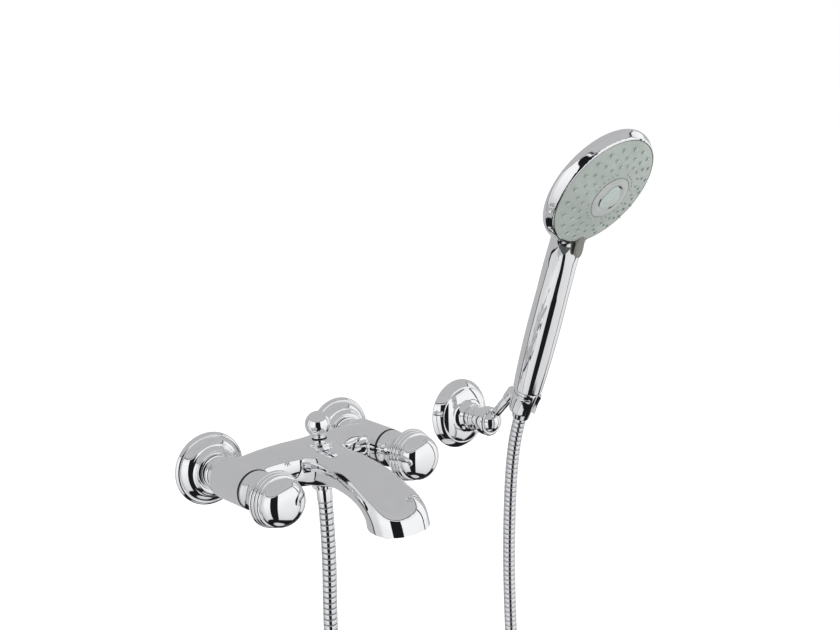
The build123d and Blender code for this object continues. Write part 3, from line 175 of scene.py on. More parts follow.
def ribbed_hose(name, points):
    """Flexible metal hose: a tube whose radius swells and narrows with each rib."""
    line = fair_line(points)
    run = stretch_of(line)
    ribs = max(1, round(run[-1] / (RIB_PITCH * MM)))
    rings = [(rib + share) / ribs for rib in range(ribs) for share, _ in RIB] + [1.0]
    radii = [radius for _ in range(ribs) for _, radius in RIB] + [RIB[0][1]]
    shape = bmesh.new()
    # each vertex keeps its place within its rib; the hose finish paints shade in the grooves from
    # it
    phase = shape.verts.layers.float.new("rib_phase")
    loops = []
    cursor = 0
    for place, radius in zip(rings, radii):
        distance = place * run[-1]
        while cursor < len(run) - 2 and run[cursor + 1] < distance:
            cursor += 1
        span = run[cursor + 1] - run[cursor]
        share = min(max((distance - run[cursor]) / span, 0), 1)
        centre = line[cursor].lerp(line[cursor + 1], share)
        way = (line[min(cursor + 2, len(line) - 1)] - line[max(cursor - 1, 0)]).normalized()
        first = (Vector((0, 1, 0)) - way * way.y).normalized()
        second = way.cross(first)
        loop = []
        for side in range(HOSE_SIDES):
            angle = 2 * pi * side / HOSE_SIDES
            spot = centre + (first * cos(angle) + second * sin(angle)) * radius * MM
            vertex = shape.verts.new(spot)
            vertex[phase] = (place * ribs) % 1.0
            loop.append(vertex)
        loops.append(loop)
    cover_loops(shape, loops)
    for face in shape.faces:
        face.smooth = len(face.verts) == 4
    return piece_of(name, shape), line, run[-1]


def hang_hose():
    """The three lengths of the hose, each swept along its own fixed, bent route."""
    lower, line, length = ribbed_hose("hose_run", HOSE_LOWER)
    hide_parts("hose_lower")
    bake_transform(lower)

    upper, line, _ = ribbed_hose("hose_end", HOSE_UPPER)
    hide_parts("hose_upper")
    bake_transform(upper)

    middle, line, length = ribbed_hose("hose_rise", HOSE_MIDDLE)
    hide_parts("hose_middle")
    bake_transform(middle)
    return lower, middle, upper


# Finishes

# sockets of a Mix node that mixes colours
MIX_FIRST = 6
MIX_SECOND = 7
MIX_RESULT = 2


def new_finish(name):
    """Material with nothing but its shader."""
    finish = bpy.data.materials.new(name)
    finish.use_nodes = True
    return finish, finish.node_tree.nodes["Principled BSDF"]


def noise_of(shader, scale, detail=3.0, rough=0.5):
    """Noise in the piece's own coordinates."""
    tree = shader.id_data
    place = tree.nodes.new("ShaderNodeTexCoord")
    noise = tree.nodes.new("ShaderNodeTexNoise")
    noise.inputs["Scale"].default_value = scale
    noise.inputs["Detail"].default_value = detail
    noise.inputs["Roughness"].default_value = rough
    tree.links.new(place.outputs["Object"], noise.inputs["Vector"])
    return noise


def ramp_of(tree, source, stops):
    """Colour from a value by a ramp; stops are (position, colour)."""
    ramp = tree.nodes.new("ShaderNodeValToRGB")
    elements = ramp.color_ramp.elements
    for index, (position, colour) in enumerate(stops):
        element = elements[index] if index < 2 else elements.new(position)
        element.position = position
        element.color = (*colour, 1)
    tree.links.new(source, ramp.inputs["Fac"])
    return ramp.outputs["Color"]


def shades(colour, dark, light, low=0.3, high=0.75):
    """Two stops for a ramp: a colour made darker, and the same colour made lighter."""
    return [(place, tuple(min(channel * factor, 1.0) for channel in colour))
            for place, factor in ((low, dark), (high, light))]


def tone_of(shader, source, stops):
    """Base colour from a texture."""
    tree = shader.id_data
    tree.links.new(ramp_of(tree, source.outputs["Fac"], stops), shader.inputs["Base Color"])


def gloss_of(shader, source, low, high):
    """Roughness from a texture, spread between two limits."""
    tree = shader.id_data
    spread = tree.nodes.new("ShaderNodeMapRange")
    spread.inputs["To Min"].default_value = low
    spread.inputs["To Max"].default_value = high
    tree.links.new(source.outputs["Fac"], spread.inputs["Value"])
    tree.links.new(spread.outputs["Result"], shader.inputs["Roughness"])


def bump_of(shader, source, strength, distance):
    """Bump from a texture."""
    tree = shader.id_data
    bump = tree.nodes.new("ShaderNodeBump")
    bump.inputs["Strength"].default_value = strength
    bump.inputs["Distance"].default_value = distance
    tree.links.new(source.outputs["Fac"], bump.inputs["Height"])
    tree.links.new(bump.outputs["Normal"], shader.inputs["Normal"])


def polished_chrome(name, tint, rough, ripple):
    """Chrome plate: bright metal, faint polishing haze and the slight ripple of a casting."""
    finish, shader = new_finish(name)
    shader.inputs["Metallic"].default_value = 1.0
    shader.inputs["IOR"].default_value = 2.5
    haze = noise_of(shader, 38.0, detail=5.0, rough=0.6)
    tone_of(shader, haze, shades(tint, 0.955, 1.0, low=0.25, high=0.8))
    wear = noise_of(shader, 420.0, detail=4.0, rough=0.65)
    gloss_of(shader, wear, rough * 0.6, rough * 1.5)
    bump_of(shader, noise_of(shader, 26.0, detail=1.0, rough=0.4), ripple, 0.0006)
    return finish


def plain_plastic(name, colour, rough, grain=900.0, depth=0.06):
    """Moulded plastic or rubber: small changes of tone and a fine spark-eroded grain."""
    finish, shader = new_finish(name)
    tone_of(shader, noise_of(shader, 55.0, detail=4.0, rough=0.6), shades(colour, 0.9, 1.06))
    fine = noise_of(shader, grain, rough=0.6)
    gloss_of(shader, fine, rough * 0.85, rough * 1.15)
    bump_of(shader, fine, depth, 0.0002)
    return finish


def machined(name, colour, rough):
    """Turned or rolled metal with fine tool lines across its axis."""
    finish, shader = new_finish(name)
    shader.inputs["Metallic"].default_value = 1.0
    tone_of(shader, noise_of(shader, 70.0, detail=4.0, rough=0.6), shades(colour, 0.8, 1.0))
    tree = shader.id_data
    place = tree.nodes.new("ShaderNodeTexCoord")
    lines = tree.nodes.new("ShaderNodeTexWave")
    lines.wave_type = "BANDS"
    lines.bands_direction = "Y"
    lines.inputs["Scale"].default_value = 900.0
    lines.inputs["Distortion"].default_value = 1.5
    tree.links.new(place.outputs["Object"], lines.inputs["Vector"])
    gloss_of(shader, lines, rough * 0.8, rough * 1.3)
    bump_of(shader, lines, 0.15, 0.0001)
    return finish


def hose_finish():
    """Ribbed steel: bright crests, with painted shade darkening the grooves between the ribs."""
    finish, shader = new_finish("hose_steel_bright")
    shader.inputs["Metallic"].default_value = 1.0
    tree = shader.id_data
    phase = tree.nodes.new("ShaderNodeAttribute")
    phase.attribute_name = "rib_phase"
    # painted shade: the ramp darkens the base colour at both ends of each rib's phase, in the
    # grooves
    grooves = ramp_of(tree, phase.outputs["Fac"], (
        (0.0, (0.20, 0.20, 0.21)),
        (1.0, (0.24, 0.24, 0.25)),
        (0.08, (0.6, 0.61, 0.63)),
        (0.16, (0.86, 0.87, 0.89)),
        (0.84, (0.90, 0.91, 0.93)),
        (0.92, (0.6, 0.61, 0.63)),
    ))
    haze = noise_of(shader, 300.0, detail=4.0, rough=0.6)
    mix = tree.nodes.new("ShaderNodeMix")
    mix.data_type = "RGBA"
    mix.blend_type = "MULTIPLY"
    mix.inputs["Factor"].default_value = 0.12
    tree.links.new(grooves, mix.inputs[MIX_FIRST])
    tree.links.new(haze.outputs["Color"], mix.inputs[MIX_SECOND])
    tree.links.new(mix.outputs[MIX_RESULT], shader.inputs["Base Color"])
    gloss_of(shader, haze, 0.08, 0.2)
    bump_of(shader, haze, 0.05, 0.0002)
    return finish


# Modelling by hand: turning, skinning, cutting

def clear_selection():
    """Back to object mode with nothing selected."""
    if bpy.context.mode != "OBJECT":
        bpy.ops.object.mode_set(mode="OBJECT")
    bpy.ops.object.select_all(action="DESELECT")


def only(piece):
    """Selects one object and makes it active."""
    clear_selection()
    piece.select_set(True)
    bpy.context.view_layer.objects.active = piece


def settle(piece):
    """Puts the object's origin at the scene's origin, with its place in the mesh."""
    only(piece)
    bpy.ops.object.transform_apply(location=True, rotation=True, scale=True)
    return piece


def tidy_mesh(piece):
    """Merges doubles and turns the normals outward."""
    only(piece)
    bpy.ops.object.mode_set(mode="EDIT")
    bpy.ops.mesh.select_all(action="SELECT")
    bpy.ops.mesh.remove_doubles(threshold=0.00001)
    bpy.ops.mesh.normals_make_consistent(inside=False)
    bpy.ops.object.mode_set(mode="OBJECT")


def modify(piece, kind, **settings):
    """Adds one modifier and applies it."""
    only(piece)
    modifier = piece.modifiers.new(kind.lower(), kind)
    for key, value in settings.items():
        setattr(modifier, key, value)
    bpy.ops.object.modifier_apply(modifier=modifier.name)
    return piece


def smooth(piece, angle):
    """Smooth shading, with the edges that turn by more than an angle kept sharp."""
    only(piece)
    bpy.ops.object.shade_smooth_by_angle(angle=radians(angle))
    return piece


def soften(piece, width=0.25):
    """Small rounded edges where a width is given, then smooth shading."""
    if width:
        modify(piece, "BEVEL", width=width * MM, segments=2, limit_method="ANGLE",
               angle_limit=radians(32), use_clamp_overlap=True)
    return smooth(piece, 38)


def cut(piece, tool, operation="DIFFERENCE"):
    """Boolean with another object, which goes away."""
    modify(piece, "BOOLEAN", object=tool, operation=operation, solver="EXACT")
    bpy.data.objects.remove(tool)
    return piece


def merge_pieces(name, pieces):
    """Joins objects into one."""
    clear_selection()
    for piece in pieces:
        piece.select_set(True)
    bpy.context.view_layer.objects.active = pieces[0]
    bpy.ops.object.join()
    pieces[0].name = name
    return pieces[0]


def bow(start, end, radius, steps=10):
    """Arc between two profile points; a positive radius bulges away from the axis and the foot."""
    first, last = Vector(start), Vector(end)
    chord = last - first
    half = chord.length / 2
    size = max(abs(radius), half * 1.0001)
    side = Vector((chord.y, -chord.x)).normalized() * (1 if radius > 0 else -1)
    centre = (first + last) / 2 - side * sqrt(size * size - half * half)
    begin = atan2(first.y - centre.y, first.x - centre.x)
    finish = atan2(last.y - centre.y, last.x - centre.x)
    sweep = (finish - begin + pi) % (2 * pi) - pi
    turns = [begin + sweep * step / steps for step in range(steps + 1)]
    return [(centre.x + size * cos(turn), centre.y + size * sin(turn)) for turn in turns]


def bend(profile, end, radius, steps=10):
    """Adds an arc from the profile's last point."""
    profile += bow(profile[-1], end, radius, steps)[1:]


def flow(points, steps=8):
    """Smooth line through points of any number of values."""
    line = []
    count = len(points)
    for index in range(count - 1):
        before = points[max(index - 1, 0)]
        start = points[index]
        end = points[index + 1]
        after = points[min(index + 2, count - 1)]
        for step in range(steps):
            t = step / steps
            line.append(tuple(
                0.5 * (2 * q + (r - p) * t + (2 * p - 5 * q + 4 * r - s) * t * t
                       + (3 * q - p - 3 * r + s) * t ** 3)
                for p, q, r, s in zip(before, start, end, after)
            ))
    line.append(tuple(points[-1]))
    return line


def melted(name, forms, voxel, rounds):
    """One skin around overlapping forms, with its junctions smoothed."""
    piece = merge_pieces(name, forms)
    modify(piece, "REMESH", mode="VOXEL", voxel_size=voxel * MM)
    return modify(piece, "SMOOTH", factor=0.5, iterations=rounds)


def turned(name, profile, foot, way, steps=96, edge=0.25):
    """Piece turned about an axis from (radius, distance) points, in millimetres."""
    foot, way = Vector(foot) * MM, Vector(way).normalized()
    places = [foot + Vector((1, 0, 0)) * radius * MM + way * distance * MM
              for radius, distance in profile]
    clear_selection()
    bpy.ops.mesh.primitive_plane_add(size=0.001, location=places[0])
    piece = bpy.context.active_object
    piece.name = name
    bpy.ops.object.mode_set(mode="EDIT")
    bpy.ops.mesh.select_all(action="SELECT")
    bpy.ops.mesh.merge(type="CENTER")
    for before, after in zip(places, places[1:]):
        if (after - before).length > 1e-7:
            bpy.ops.mesh.extrude_vertices_move(TRANSFORM_OT_translate={"value": after - before})
    bpy.ops.mesh.select_all(action="SELECT")
    bpy.ops.mesh.spin(steps=steps, angle=2 * pi, center=foot, axis=way)
    bpy.ops.object.mode_set(mode="OBJECT")
    settle(piece)
    tidy_mesh(piece)
    return soften(piece, edge)


def cover_loops(shape, loops):
    """Faces between loops of vertices and over the two end loops."""
    count = len(loops[0])
    for lower, upper in zip(loops, loops[1:]):
        for side in range(count):
            after = (side + 1) % count
            shape.faces.new((lower[side], lower[after], upper[after], upper[side]))
    shape.faces.new(list(reversed(loops[0])))
    shape.faces.new(loops[-1])
    bmesh.ops.recalc_face_normals(shape, faces=shape.faces)


def piece_of(name, shape):
    """Object with a finished bmesh as its mesh."""
    mesh = bpy.data.meshes.new(name)
    shape.to_mesh(mesh)
    shape.free()
    piece = bpy.data.objects.new(name, mesh)
    bpy.context.scene.collection.objects.link(piece)
    return piece


def skinned(name, rings):
    """Closed skin over rings of points, in millimetres, with flat ends."""
    shape = bmesh.new()
    cover_loops(shape, [[shape.verts.new(Vector(point) * MM) for point in ring] for ring in rings])
    return piece_of(name, shape)


def oval(centre, across, along, half_width, half_height, fullness=1.0, sides=64):
    """Ring of points of a superellipse."""
    ring = []
    for side in range(sides):
        angle = 2 * pi * side / sides
        x, y = cos(angle), sin(angle)
        x = (1 if x >= 0 else -1) * abs(x) ** fullness * half_width
        y = (1 if y >= 0 else -1) * abs(y) ** fullness * half_height
        ring.append(Vector(centre) + Vector(across) * x + Vector(along) * y)
    return ring


def box_tool(name, centre, axes, sizes):
    """Cutting block; axes are its three directions and sizes its three lengths in millimetres."""
    clear_selection()
    bpy.ops.mesh.primitive_cube_add(size=1)
    piece = bpy.context.active_object
    piece.name = name
    turn = Matrix([Vector(axis).normalized() for axis in axes]).transposed().to_4x4()
    piece.matrix_world = (Matrix.Translation(Vector(centre) * MM) @ turn
                          @ Matrix.Diagonal((*[size * MM for size in sizes], 1)))
    return settle(piece)


def put(piece, body, finish, slot, *nodes):
    """Gives a piece its finish, its body and the CAD nodes that it stands for."""
    piece.data.materials.clear()
    piece.data.materials.append(finish)
    if nodes:
        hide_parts(*nodes)
    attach(piece, body)
    return piece


def plate(piece, body, node):
    """Chrome plate on a piece that stands for one CAD node."""
    return put(piece, body, chrome, "chrome", node)


# Mixer

BARREL_END = -90.5
AERATOR_Y = -190.0
SPOUT_MOUTH = -27.0
BROAD_VOXEL = 0.95
FINE_VOXEL = 0.55
# distance from the wall, height, slope, half width, half thickness and roundness
SPOUT_SECTIONS = (
    (56.0, 1.5, 0.0, 34.0, 18.4, 0.6),
    (76.0, 2.5, 0.0, 30.0, 18.2, 0.6),
    (92.0, 3.4, 0.5, 23.0, 18.0, 0.64),
    (106.0, 4.2, 2.0, 20.2, 17.6, 0.76),
    (130.0, 5.6, 9.0, 21.6, 16.6, 0.88),
    (160.0, 1.6, 20.0, 23.6, 15.4, 0.9),
    (181.0, -5.5, 38.0, 25.2, 16.2, 0.9),
    (195.0, -15.0, 76.0, 26.2, 23.6, 0.9),
    (198.6, -25.0, 94.0, 26.3, 26.4, 0.9),
    (199.0, -29.0, 94.0, 26.3, 26.6, 0.9),
)
# left half: place across, distance from the wall, height, half depth and half thickness
BRIDGE_HALF = (
    (-75.0, 59.5, 0.3, 21.5, 19.3),
    (-50.0, 59.5, 5.2, 21.6, 16.8),
    (-25.0, 63.5, 8.2, 25.0, 15.0),
    (0.0, 66.0, 8.2, 27.0, 14.6),
)
BELLY_HALF = (
    (-52.0, 56.0, -4.0, 12.0, 9.0),
    (-30.0, 62.0, -6.0, 17.0, 11.0),
    (0.0, 70.0, -7.0, 22.0, 12.0),
)


def wing_form(name, half, roundness):
    """Form across the mixer, skinned over its left half's sections and their mirror images."""
    mirrored = tuple((-x, *sizes) for x, *sizes in reversed(half[:-1]))
    rings = []
    for x, distance, height, depth, tall in flow(half + mirrored, 8):
        rings.append(oval((x, -distance, height), (0, 1, 0), (0, 0, 1), depth, tall, roundness))
    return skinned(name, rings)


def spout_form():
    """Tongue of the spout, from the bridge to its down-turned nose."""
    rings = []
    for distance, height, slope, wide, thick, roundness in flow(SPOUT_SECTIONS, 8):
        fall = radians(slope)
        up = (0, -sin(fall), cos(fall))
        rings.append(oval((0, -distance, height), (1, 0, 0), up, wide, thick, roundness))
    return skinned("spout_form", rings)


def trim(piece, place, way, near):
    """Cuts off what lies past a plane, among the vertices that a test picks, and closes the cut."""
    only(piece)
    bpy.ops.object.mode_set(mode="EDIT")
    bpy.ops.mesh.select_all(action="DESELECT")
    bpy.ops.object.mode_set(mode="OBJECT")
    for vertex in piece.data.vertices:
        vertex.select = near(vertex.co)
    bpy.ops.object.mode_set(mode="EDIT")
    bpy.ops.mesh.select_mode(type="VERT")
    bpy.ops.mesh.bisect(plane_co=place * MM, plane_no=way, clear_outer=True, use_fill=True)
    bpy.ops.object.mode_set(mode="OBJECT")


def cast_mixer():
    """Bridge, belly, spout, boss, knob's seat and barrels melted into one soft-edged casting."""
    forms = [wing_form("bridge_form", BRIDGE_HALF, 0.85), wing_form("belly_form", BELLY_HALF, 0.9),
             spout_form()]
    boss = [(0, -34), (17, -34), (17, -14), (0, -14)]
    forms.append(turned("boss_form", boss, (0, AERATOR_Y, 0), UP, 64, 0))
    seat = [(0, 8), (15, 8), (15, 21.9)]
    bend(seat, (0, 24.2), 50.1, 14)
    forms.append(turned("seat_form", seat, (0, DIVERTER_Y + 1, 0), UP, 96, 0))
    barrel = [(0, 22), (12.6, 22), (12.6, 24.4), (10.4, 24.4), (10.4, 29.5), (12.4, 29.5)]
    bend(barrel, (20, 41.5), 13.5)
    barrel += [(19.35, 66), (18.7, 90.5), (18.7, 96), (0, 96)]
    for x in (-INLET_X, INLET_X):
        forms.append(turned("barrel_form", barrel, (x, 0, 0), OUT, 96, 0))
    casting = melted("mixer_casting", forms, BROAD_VOXEL, 22)
    trim(casting, Vector((0, BARREL_END, 0)), OUT,
         lambda spot: abs(spot.x) > 0.050 and spot.y < -0.085)
    trim(casting, Vector((0, 0, SPOUT_MOUTH)), -UP,
         lambda spot: spot.z < -0.0225 and spot.y < -0.165)
    plate(smooth(casting, 45), "mixer", "mixer_body")


def flange_profile():
    """Bell-shaped rosette: rolled rim, groove, dome and cove up to the hub."""
    profile = [(21.4, 4.5), (31.8, 2.6), (31.8, 0.05), (34.2, 0.05), (35.4, 1.2), (35.4, 2.2)]
    bend(profile, (32.5, 5.7), 4.4)
    profile += [(32.0, 5.2), (31.5, 5.4)]
    bend(profile, (25.2, 12.9), 15.0)
    bend(profile, (21.4, 17.2), -5.0)
    profile += [(21.4, 17.7), (20.9, 18.35), (17.0, 18.35), (17.0, 11.5), (21.4, 4.5)]
    return profile


def dress_inlets():
    """Rosettes and coupling nuts."""
    nut = [(13.4, 13.6), (15.8, 13.6), (16.6, 14.4), (16.6, 26.6)]
    bend(nut, (14.9, 28.5), 2.2, 6)
    nut += [(10.6, 28.5), (10.6, 24.5), (13.4, 24.5), (13.4, 13.6)]
    for side, x in (("left", -INLET_X), ("right", INLET_X)):
        rosette = turned(f"inlet_rosette_{side}", flange_profile(), (x, 0, 0), OUT, 128)
        plate(rosette, "mixer", f"wall_flange_{side}")
        coupling = turned(f"inlet_nut_{side}", nut, (x, 0, 0), OUT, 96)
        plate(coupling, "mixer", f"coupling_nut_{side}")


# stepped rings of a handle: count, first radius and place, pitch and width
HANDLE_RINGS = 3
RING_R = 25.3
RING_START = 122.5
RING_PITCH = 3.8
RING_WIDTH = 3.1


def handle_profile():
    """Base, waist, flare and three stepped rings of a round handle, hollow behind."""
    profile = [(14.9, 92.25), (17.4, 92.25), (18.2, 93.0), (18.2, 95.2)]
    profile += flow([(18.2, 95.2), (16.9, 99.0), (16.2, 104.2), (17.3, 110.0), (20.2, 116.5),
                     (24.2, 122.4)], 6)[1:]
    for ring in range(HANDLE_RINGS):
        radius = RING_R - ring
        start = RING_START + ring * RING_PITCH
        middle = start + RING_WIDTH / 2
        end = start + RING_WIDTH
        profile += bow((radius - 1.5, start), (radius, middle), 1.75, 6)
        bend(profile, (radius - 1.5, end), 1.75, 6)
        profile += [(radius - 2.3, end + 0.1), (radius - 2.3, end + 0.6)]
    profile += [(20.4, 133.9), (20.4, 136), (14.1, 136), (14.1, 122), (14.9, 118), (14.9, 92.25)]
    return profile


def cap_profile():
    """Domed cap with a rounded shoulder."""
    profile = [(12, 132.2), (14, 132.2), (14, 136), (21.0, 136), (21.4, 136.5), (21.4, 137.6)]
    profile += flow([(21.4, 137.6), (20.9, 140.0), (19.2, 143.2), (15.8, 146.5), (11.0, 148.8),
                     (5.6, 149.8), (0.0, 150.0)], 6)[1:]
    profile += [(0, 147), (12, 141), (12, 132.2)]
    return profile


def dress_handles():
    """Handles with their caps, and the black rings that they turn on."""
    for valve, x in (("hot", -INLET_X), ("cold", INLET_X)):
        body = f"{valve}_handle"
        grip = turned(f"handle_grip_{valve}", handle_profile(), (x, 0, 0), OUT, 128, 0.12)
        plate(grip, body, f"handle_{valve}")
        cap = turned(f"handle_dome_{valve}", cap_profile(), (x, 0, 0), OUT, 128, 0.15)
        plate(cap, body, f"handle_cap_{valve}")
    slides = []
    for x in (-INLET_X, INLET_X):
        slide = [(14, 90.55), (18.45, 90.55), (18.45, 91.5), (18.1, 91.9), (14, 91.9), (14, 90.55)]
        slides.append(turned("slide", slide, (x, 0, 0), OUT, 96, 0.1))
    put(merge_pieces("black_slides", slides), "mixer", rubber, "black_plastic", "glide_rings")


KNOB_R = 12.3
KNOB_Z = 41.6
KNOB_NECK_R = 5.2
STEM_R = 3.1


def ball_profile(radius, height, low, high, steps):
    """Profile of a ball between two angles from its equator."""
    angles = [low + (high - low) * step / steps for step in range(steps + 1)]
    return [(max(radius * cos(angle), 0.0), height + radius * sin(angle)) for angle in angles]


def dress_diverter():
    """Guide collar, black ring, ball knob and its stem."""
    foot = (0, DIVERTER_Y, 0)
    collar = [(STEM_R, 14), (8.9, 14), (8.9, 22.6), (12.2, 22.6), (12.4, 24.2), (12.1, 24.8)]
    bend(collar, (7.4, 27.3), -8.0)
    collar += [(STEM_R, 27.3), (STEM_R, 14)]
    plate(turned("diverter_guide", collar, foot, UP), "mixer", "diverter_collar")
    ring = [(3.4, 27.42), (7.0, 27.42), (7.2, 27.9), (7.0, 28.35), (3.4, 28.35), (3.4, 27.42)]
    put(turned("diverter_ring", ring, foot, UP, 96, 0), "mixer", rubber, "black_rubber",
        "diverter_seal")
    meet = KNOB_Z - sqrt(KNOB_R ** 2 - KNOB_NECK_R ** 2)
    knob = [(STEM_R, 28.7), (6.3, 28.7), (6.6, 29.0), (6.3, 29.6), (5.4, meet - 0.2)]
    knob += ball_profile(KNOB_R, KNOB_Z, -acos(KNOB_NECK_R / KNOB_R), pi / 2, 40)
    knob += [(0, 44.6), (STEM_R, KNOB_Z + 0.1), (STEM_R, 28.7)]
    plate(turned("diverter_ball", knob, foot, UP, 128, 0.1), "diverter", "diverter_knob")


FLUTES = 10
FLUTE_R = 2.6
FLUTE_LENGTH = 7.6
FLUTE_REACH = 12.7
FLUTE_Z = -17.6


def dress_outlet():
    """Fluted bell under the bridge and the plain sleeve on the hose's end."""
    foot = (0, DIVERTER_Y, 0)
    bell = [(4.4, -6), (7.5, -6), (7.5, -12.65), (8.6, -12.65), (9.2, -14.0)]
    bell += flow([(9.2, -14.0), (9.9, -16.0), (10.9, -18.0), (11.0, -18.8)], 5)[1:]
    bell += [(10.6, -20.15), (6.5, -20.15), (6.5, -13.2), (4.4, -13.2), (4.4, -6)]
    piece = turned("outlet_bell", bell, foot, UP, 120, 0.15)
    tools = []
    for flute in range(FLUTES):
        angle = 2 * pi * flute / FLUTES
        centre = (FLUTE_REACH * cos(angle), DIVERTER_Y + FLUTE_REACH * sin(angle), FLUTE_Z)
        clear_selection()
        bpy.ops.mesh.primitive_cylinder_add(vertices=24, radius=FLUTE_R * MM,
                                            depth=FLUTE_LENGTH * MM, location=Vector(centre) * MM)
        tools.append(settle(bpy.context.active_object))
    cut(piece, merge_pieces("flutes", tools))
    soften(piece, 0.12)
    plate(piece, "mixer", "hose_outlet")
    sleeve = [(4.5, -34.15), (6.6, -34.15), (7.2, -33.8), (7.4, -33.2), (7.4, -21.2),
              (7.1, -20.4), (6.4, -20.3), (6.4, -15.2), (4.5, -15.2), (4.5, -34.15)]
    plate(turned("hose_sleeve", sleeve, foot, UP), "mixer", "hose_ferrule")


# Wall bracket

BALL_R = 13.0
ROD_R = 4.0
HOLDER_SLOT = (15.4, 32, 30)


def dress_bracket():
    """Rosette, beaded neck, ring nut, ball with its rod, and the holder."""
    rim = [(17.6, 6.8), (36.0, 2.6), (36.4, 0.05), (38.8, 0.05), (40, 1.2), (40, 2.6)]
    bend(rim, (32.4, 12.2), 34.0, 14)
    rim += [(31.9, 11.8), (31.3, 12.0)]
    bend(rim, (22.0, 16.4), 36.0, 10)
    bend(rim, (13.6, 23.6), -11.0, 12)
    rim += [(13.6, 23.95), (8.6, 23.95), (8.6, 7), (17.6, 6.8)]
    plate(turned("bracket_rosette", rim, BRACKET, OUT, 128), "mixer", "bracket_flange")
    neck = [(0, 24.05), (12.8, 24.05), (12.8, 28.4), (13.6, 28.6)]
    bend(neck, (13.6, 32.0), 2.0, 8)
    neck += [(13.2, 32.1), (13.2, 34.2), (12.7, 34.6), (12.7, 35.3), (13.2, 35.7), (13.2, 46.4),
             (11.0, 46.4), (10.5, 41.5), (0, 41.5)]
    plate(turned("bracket_stem", neck, BRACKET, OUT, 96), "mixer", "bracket_neck")
    nut = [(15.2, 46.6), (15.6, 46.6), (16.2, 47.2), (16.2, 55.4)]
    bend(nut, (13.6, 58.15), 3.2, 8)
    nut += [(12.5, 58.15), (12.7, 57.0), (14.1, 56.4), (15.2, 53.2), (15.2, 46.6)]
    plate(turned("bracket_ring_nut", nut, BRACKET, OUT, 96), "mixer", "bracket_collar")

    rod = ball_profile(BALL_R, 0.0, -pi / 2, acos(ROD_R / BALL_R), 32)
    rod += flow([(ROD_R, 12.6), (ROD_R, 15.2), (4.7, 17.0), (5.3, 18.4)], 5)
    rod += [(5.3, 45.95), (3.0, 45.95), (3.0, 54), (0, 54)]
    plate(turned("ball_and_rod", rod, BALL, ARM_WAY, 96, 0.15), "arm", "bracket_arm")
    dress_holder()


def dress_holder():
    """Open cone with a plain rim and the blended boss of the rod."""
    side = GRIP_WAY.cross(Vector((1, 0, 0)))
    cup = [(0, -5.02), (16.4, -5.02)]
    bend(cup, (16.4, -7.4), -2.2, 6)
    cup += flow([(16.2, -8.0), (15.4, -12.0), (14.7, -18.0), (14.4, -25.0), (14.0, -27.5)], 4)
    cup += [(13.4, -28), (0, -28)]
    form = turned("cup_form", cup, GRIP_FOOT, GRIP_WAY, 96, 0)
    boss = [(0, 46.1), (6.2, 46.1), (6.6, 46.5), (6.9, 54), (7.4, 60), (0, 60)]
    cone = turned("boss_form", boss, BALL, ARM_WAY, 64, 0)
    holder = melted("holder_cup", [form, cone], FINE_VOXEL, 10)
    hollow = [(0, -3), (13.45, -3), (10.75, -30), (0, -30)]
    cut(holder, turned("hollow", hollow, GRIP_FOOT, GRIP_WAY, 96, 0))
    slot_tool = box_tool("slot", GRIP_FOOT + GRIP_WAY * -16.5 + GRIP_FRONT * 16,
                         ((1, 0, 0), side, GRIP_WAY), HOLDER_SLOT)
    cut(holder, slot_tool)
    plate(soften(holder, 0), "arm", "handset_holder")

    nut = [(10.6, -1.05), (12.8, -1.05), (13.4, -1.8), (12.9, -5.5), (9.5, -35.0), (8.9, -35.9),
           (4.5, -35.9), (4.5, -15), (10.6, -13), (10.6, -1.05)]
    plate(turned("hose_cone", nut, GRIP_FOOT, GRIP_WAY, 96, 0.2), "handset", "hose_cone_nut")


# Hand shower

GRIP_RADII = ((15.3, 0.6), (15.6, 1.0), (16.5, 22.0), (17.1, 50.0), (17.25, 72.0), (17.0, 92.0),
              (16.6, 112.0), (16.0, 130.0), (15.3, 146.0), (14.9, 158.0))
# place along the grip, forward shift, tip, half width, half depth and roundness
SHOULDERS = (
    (104.0, 0.0, 0.0, 16.5, 16.5, 1.0),
    (128.0, 0.0, 0.0, 15.8, 15.8, 0.86),
    (150.0, 0.0, 1.0, 15.0, 15.0, 0.74),
    (171.0, 1.0, 4.0, 17.0, 13.4, 0.70),
    (187.0, 4.0, 10.0, 25.6, 10.4, 0.74),
    (206.0, 9.5, 14.0, 36.0, 8.0, 0.9),
    (214.0, 12.0, 14.0, 37.5, 7.4, 0.97),
)


def shell_form():
    """Grip, shoulders and head melted together."""
    grip = [(0, 0.02), (15.0, 0.02), *flow(GRIP_RADII, 5), (0, 158)]
    forms = [turned("grip_form", grip, GRIP_FOOT, GRIP_WAY, 96, 0)]
    rings = []
    for along, forward, tip, wide, deep, roundness in flow(SHOULDERS, 6):
        lean = GRIP_LEAN + radians(tip)
        front = (0, -cos(lean), -sin(lean))
        rings.append(oval(grip_point(along, forward), (1, 0, 0), front, wide, deep, roundness))
    forms.append(skinned("shoulder_form", rings))
    head = [(0, -0.05), (59.3, -0.05)]
    bend(head, (60.1, -1.0), -1.2, 4)
    head += [(61.5, -4.2), (62.9, -7.4), (63.1, -9.4)]
    bend(head, (59, -14.5), -4.8, 6)
    bend(head, (0, -22), -235.8, 16)
    forms.append(turned("head_form", head, FACE_CENTRE, FACE_WAY, 192, 0))
    return melted("shell_form", forms, BROAD_VOXEL, 9)


# inlaid triangle: its middle, the reach of its corners' centres and the corners' radius
MARKER_X = -13.0
MARKER_Y = -67.5
MARKER_REACH = 4.6
MARKER_CORNER_R = 1.0
MARKER_LIFT = 0.12


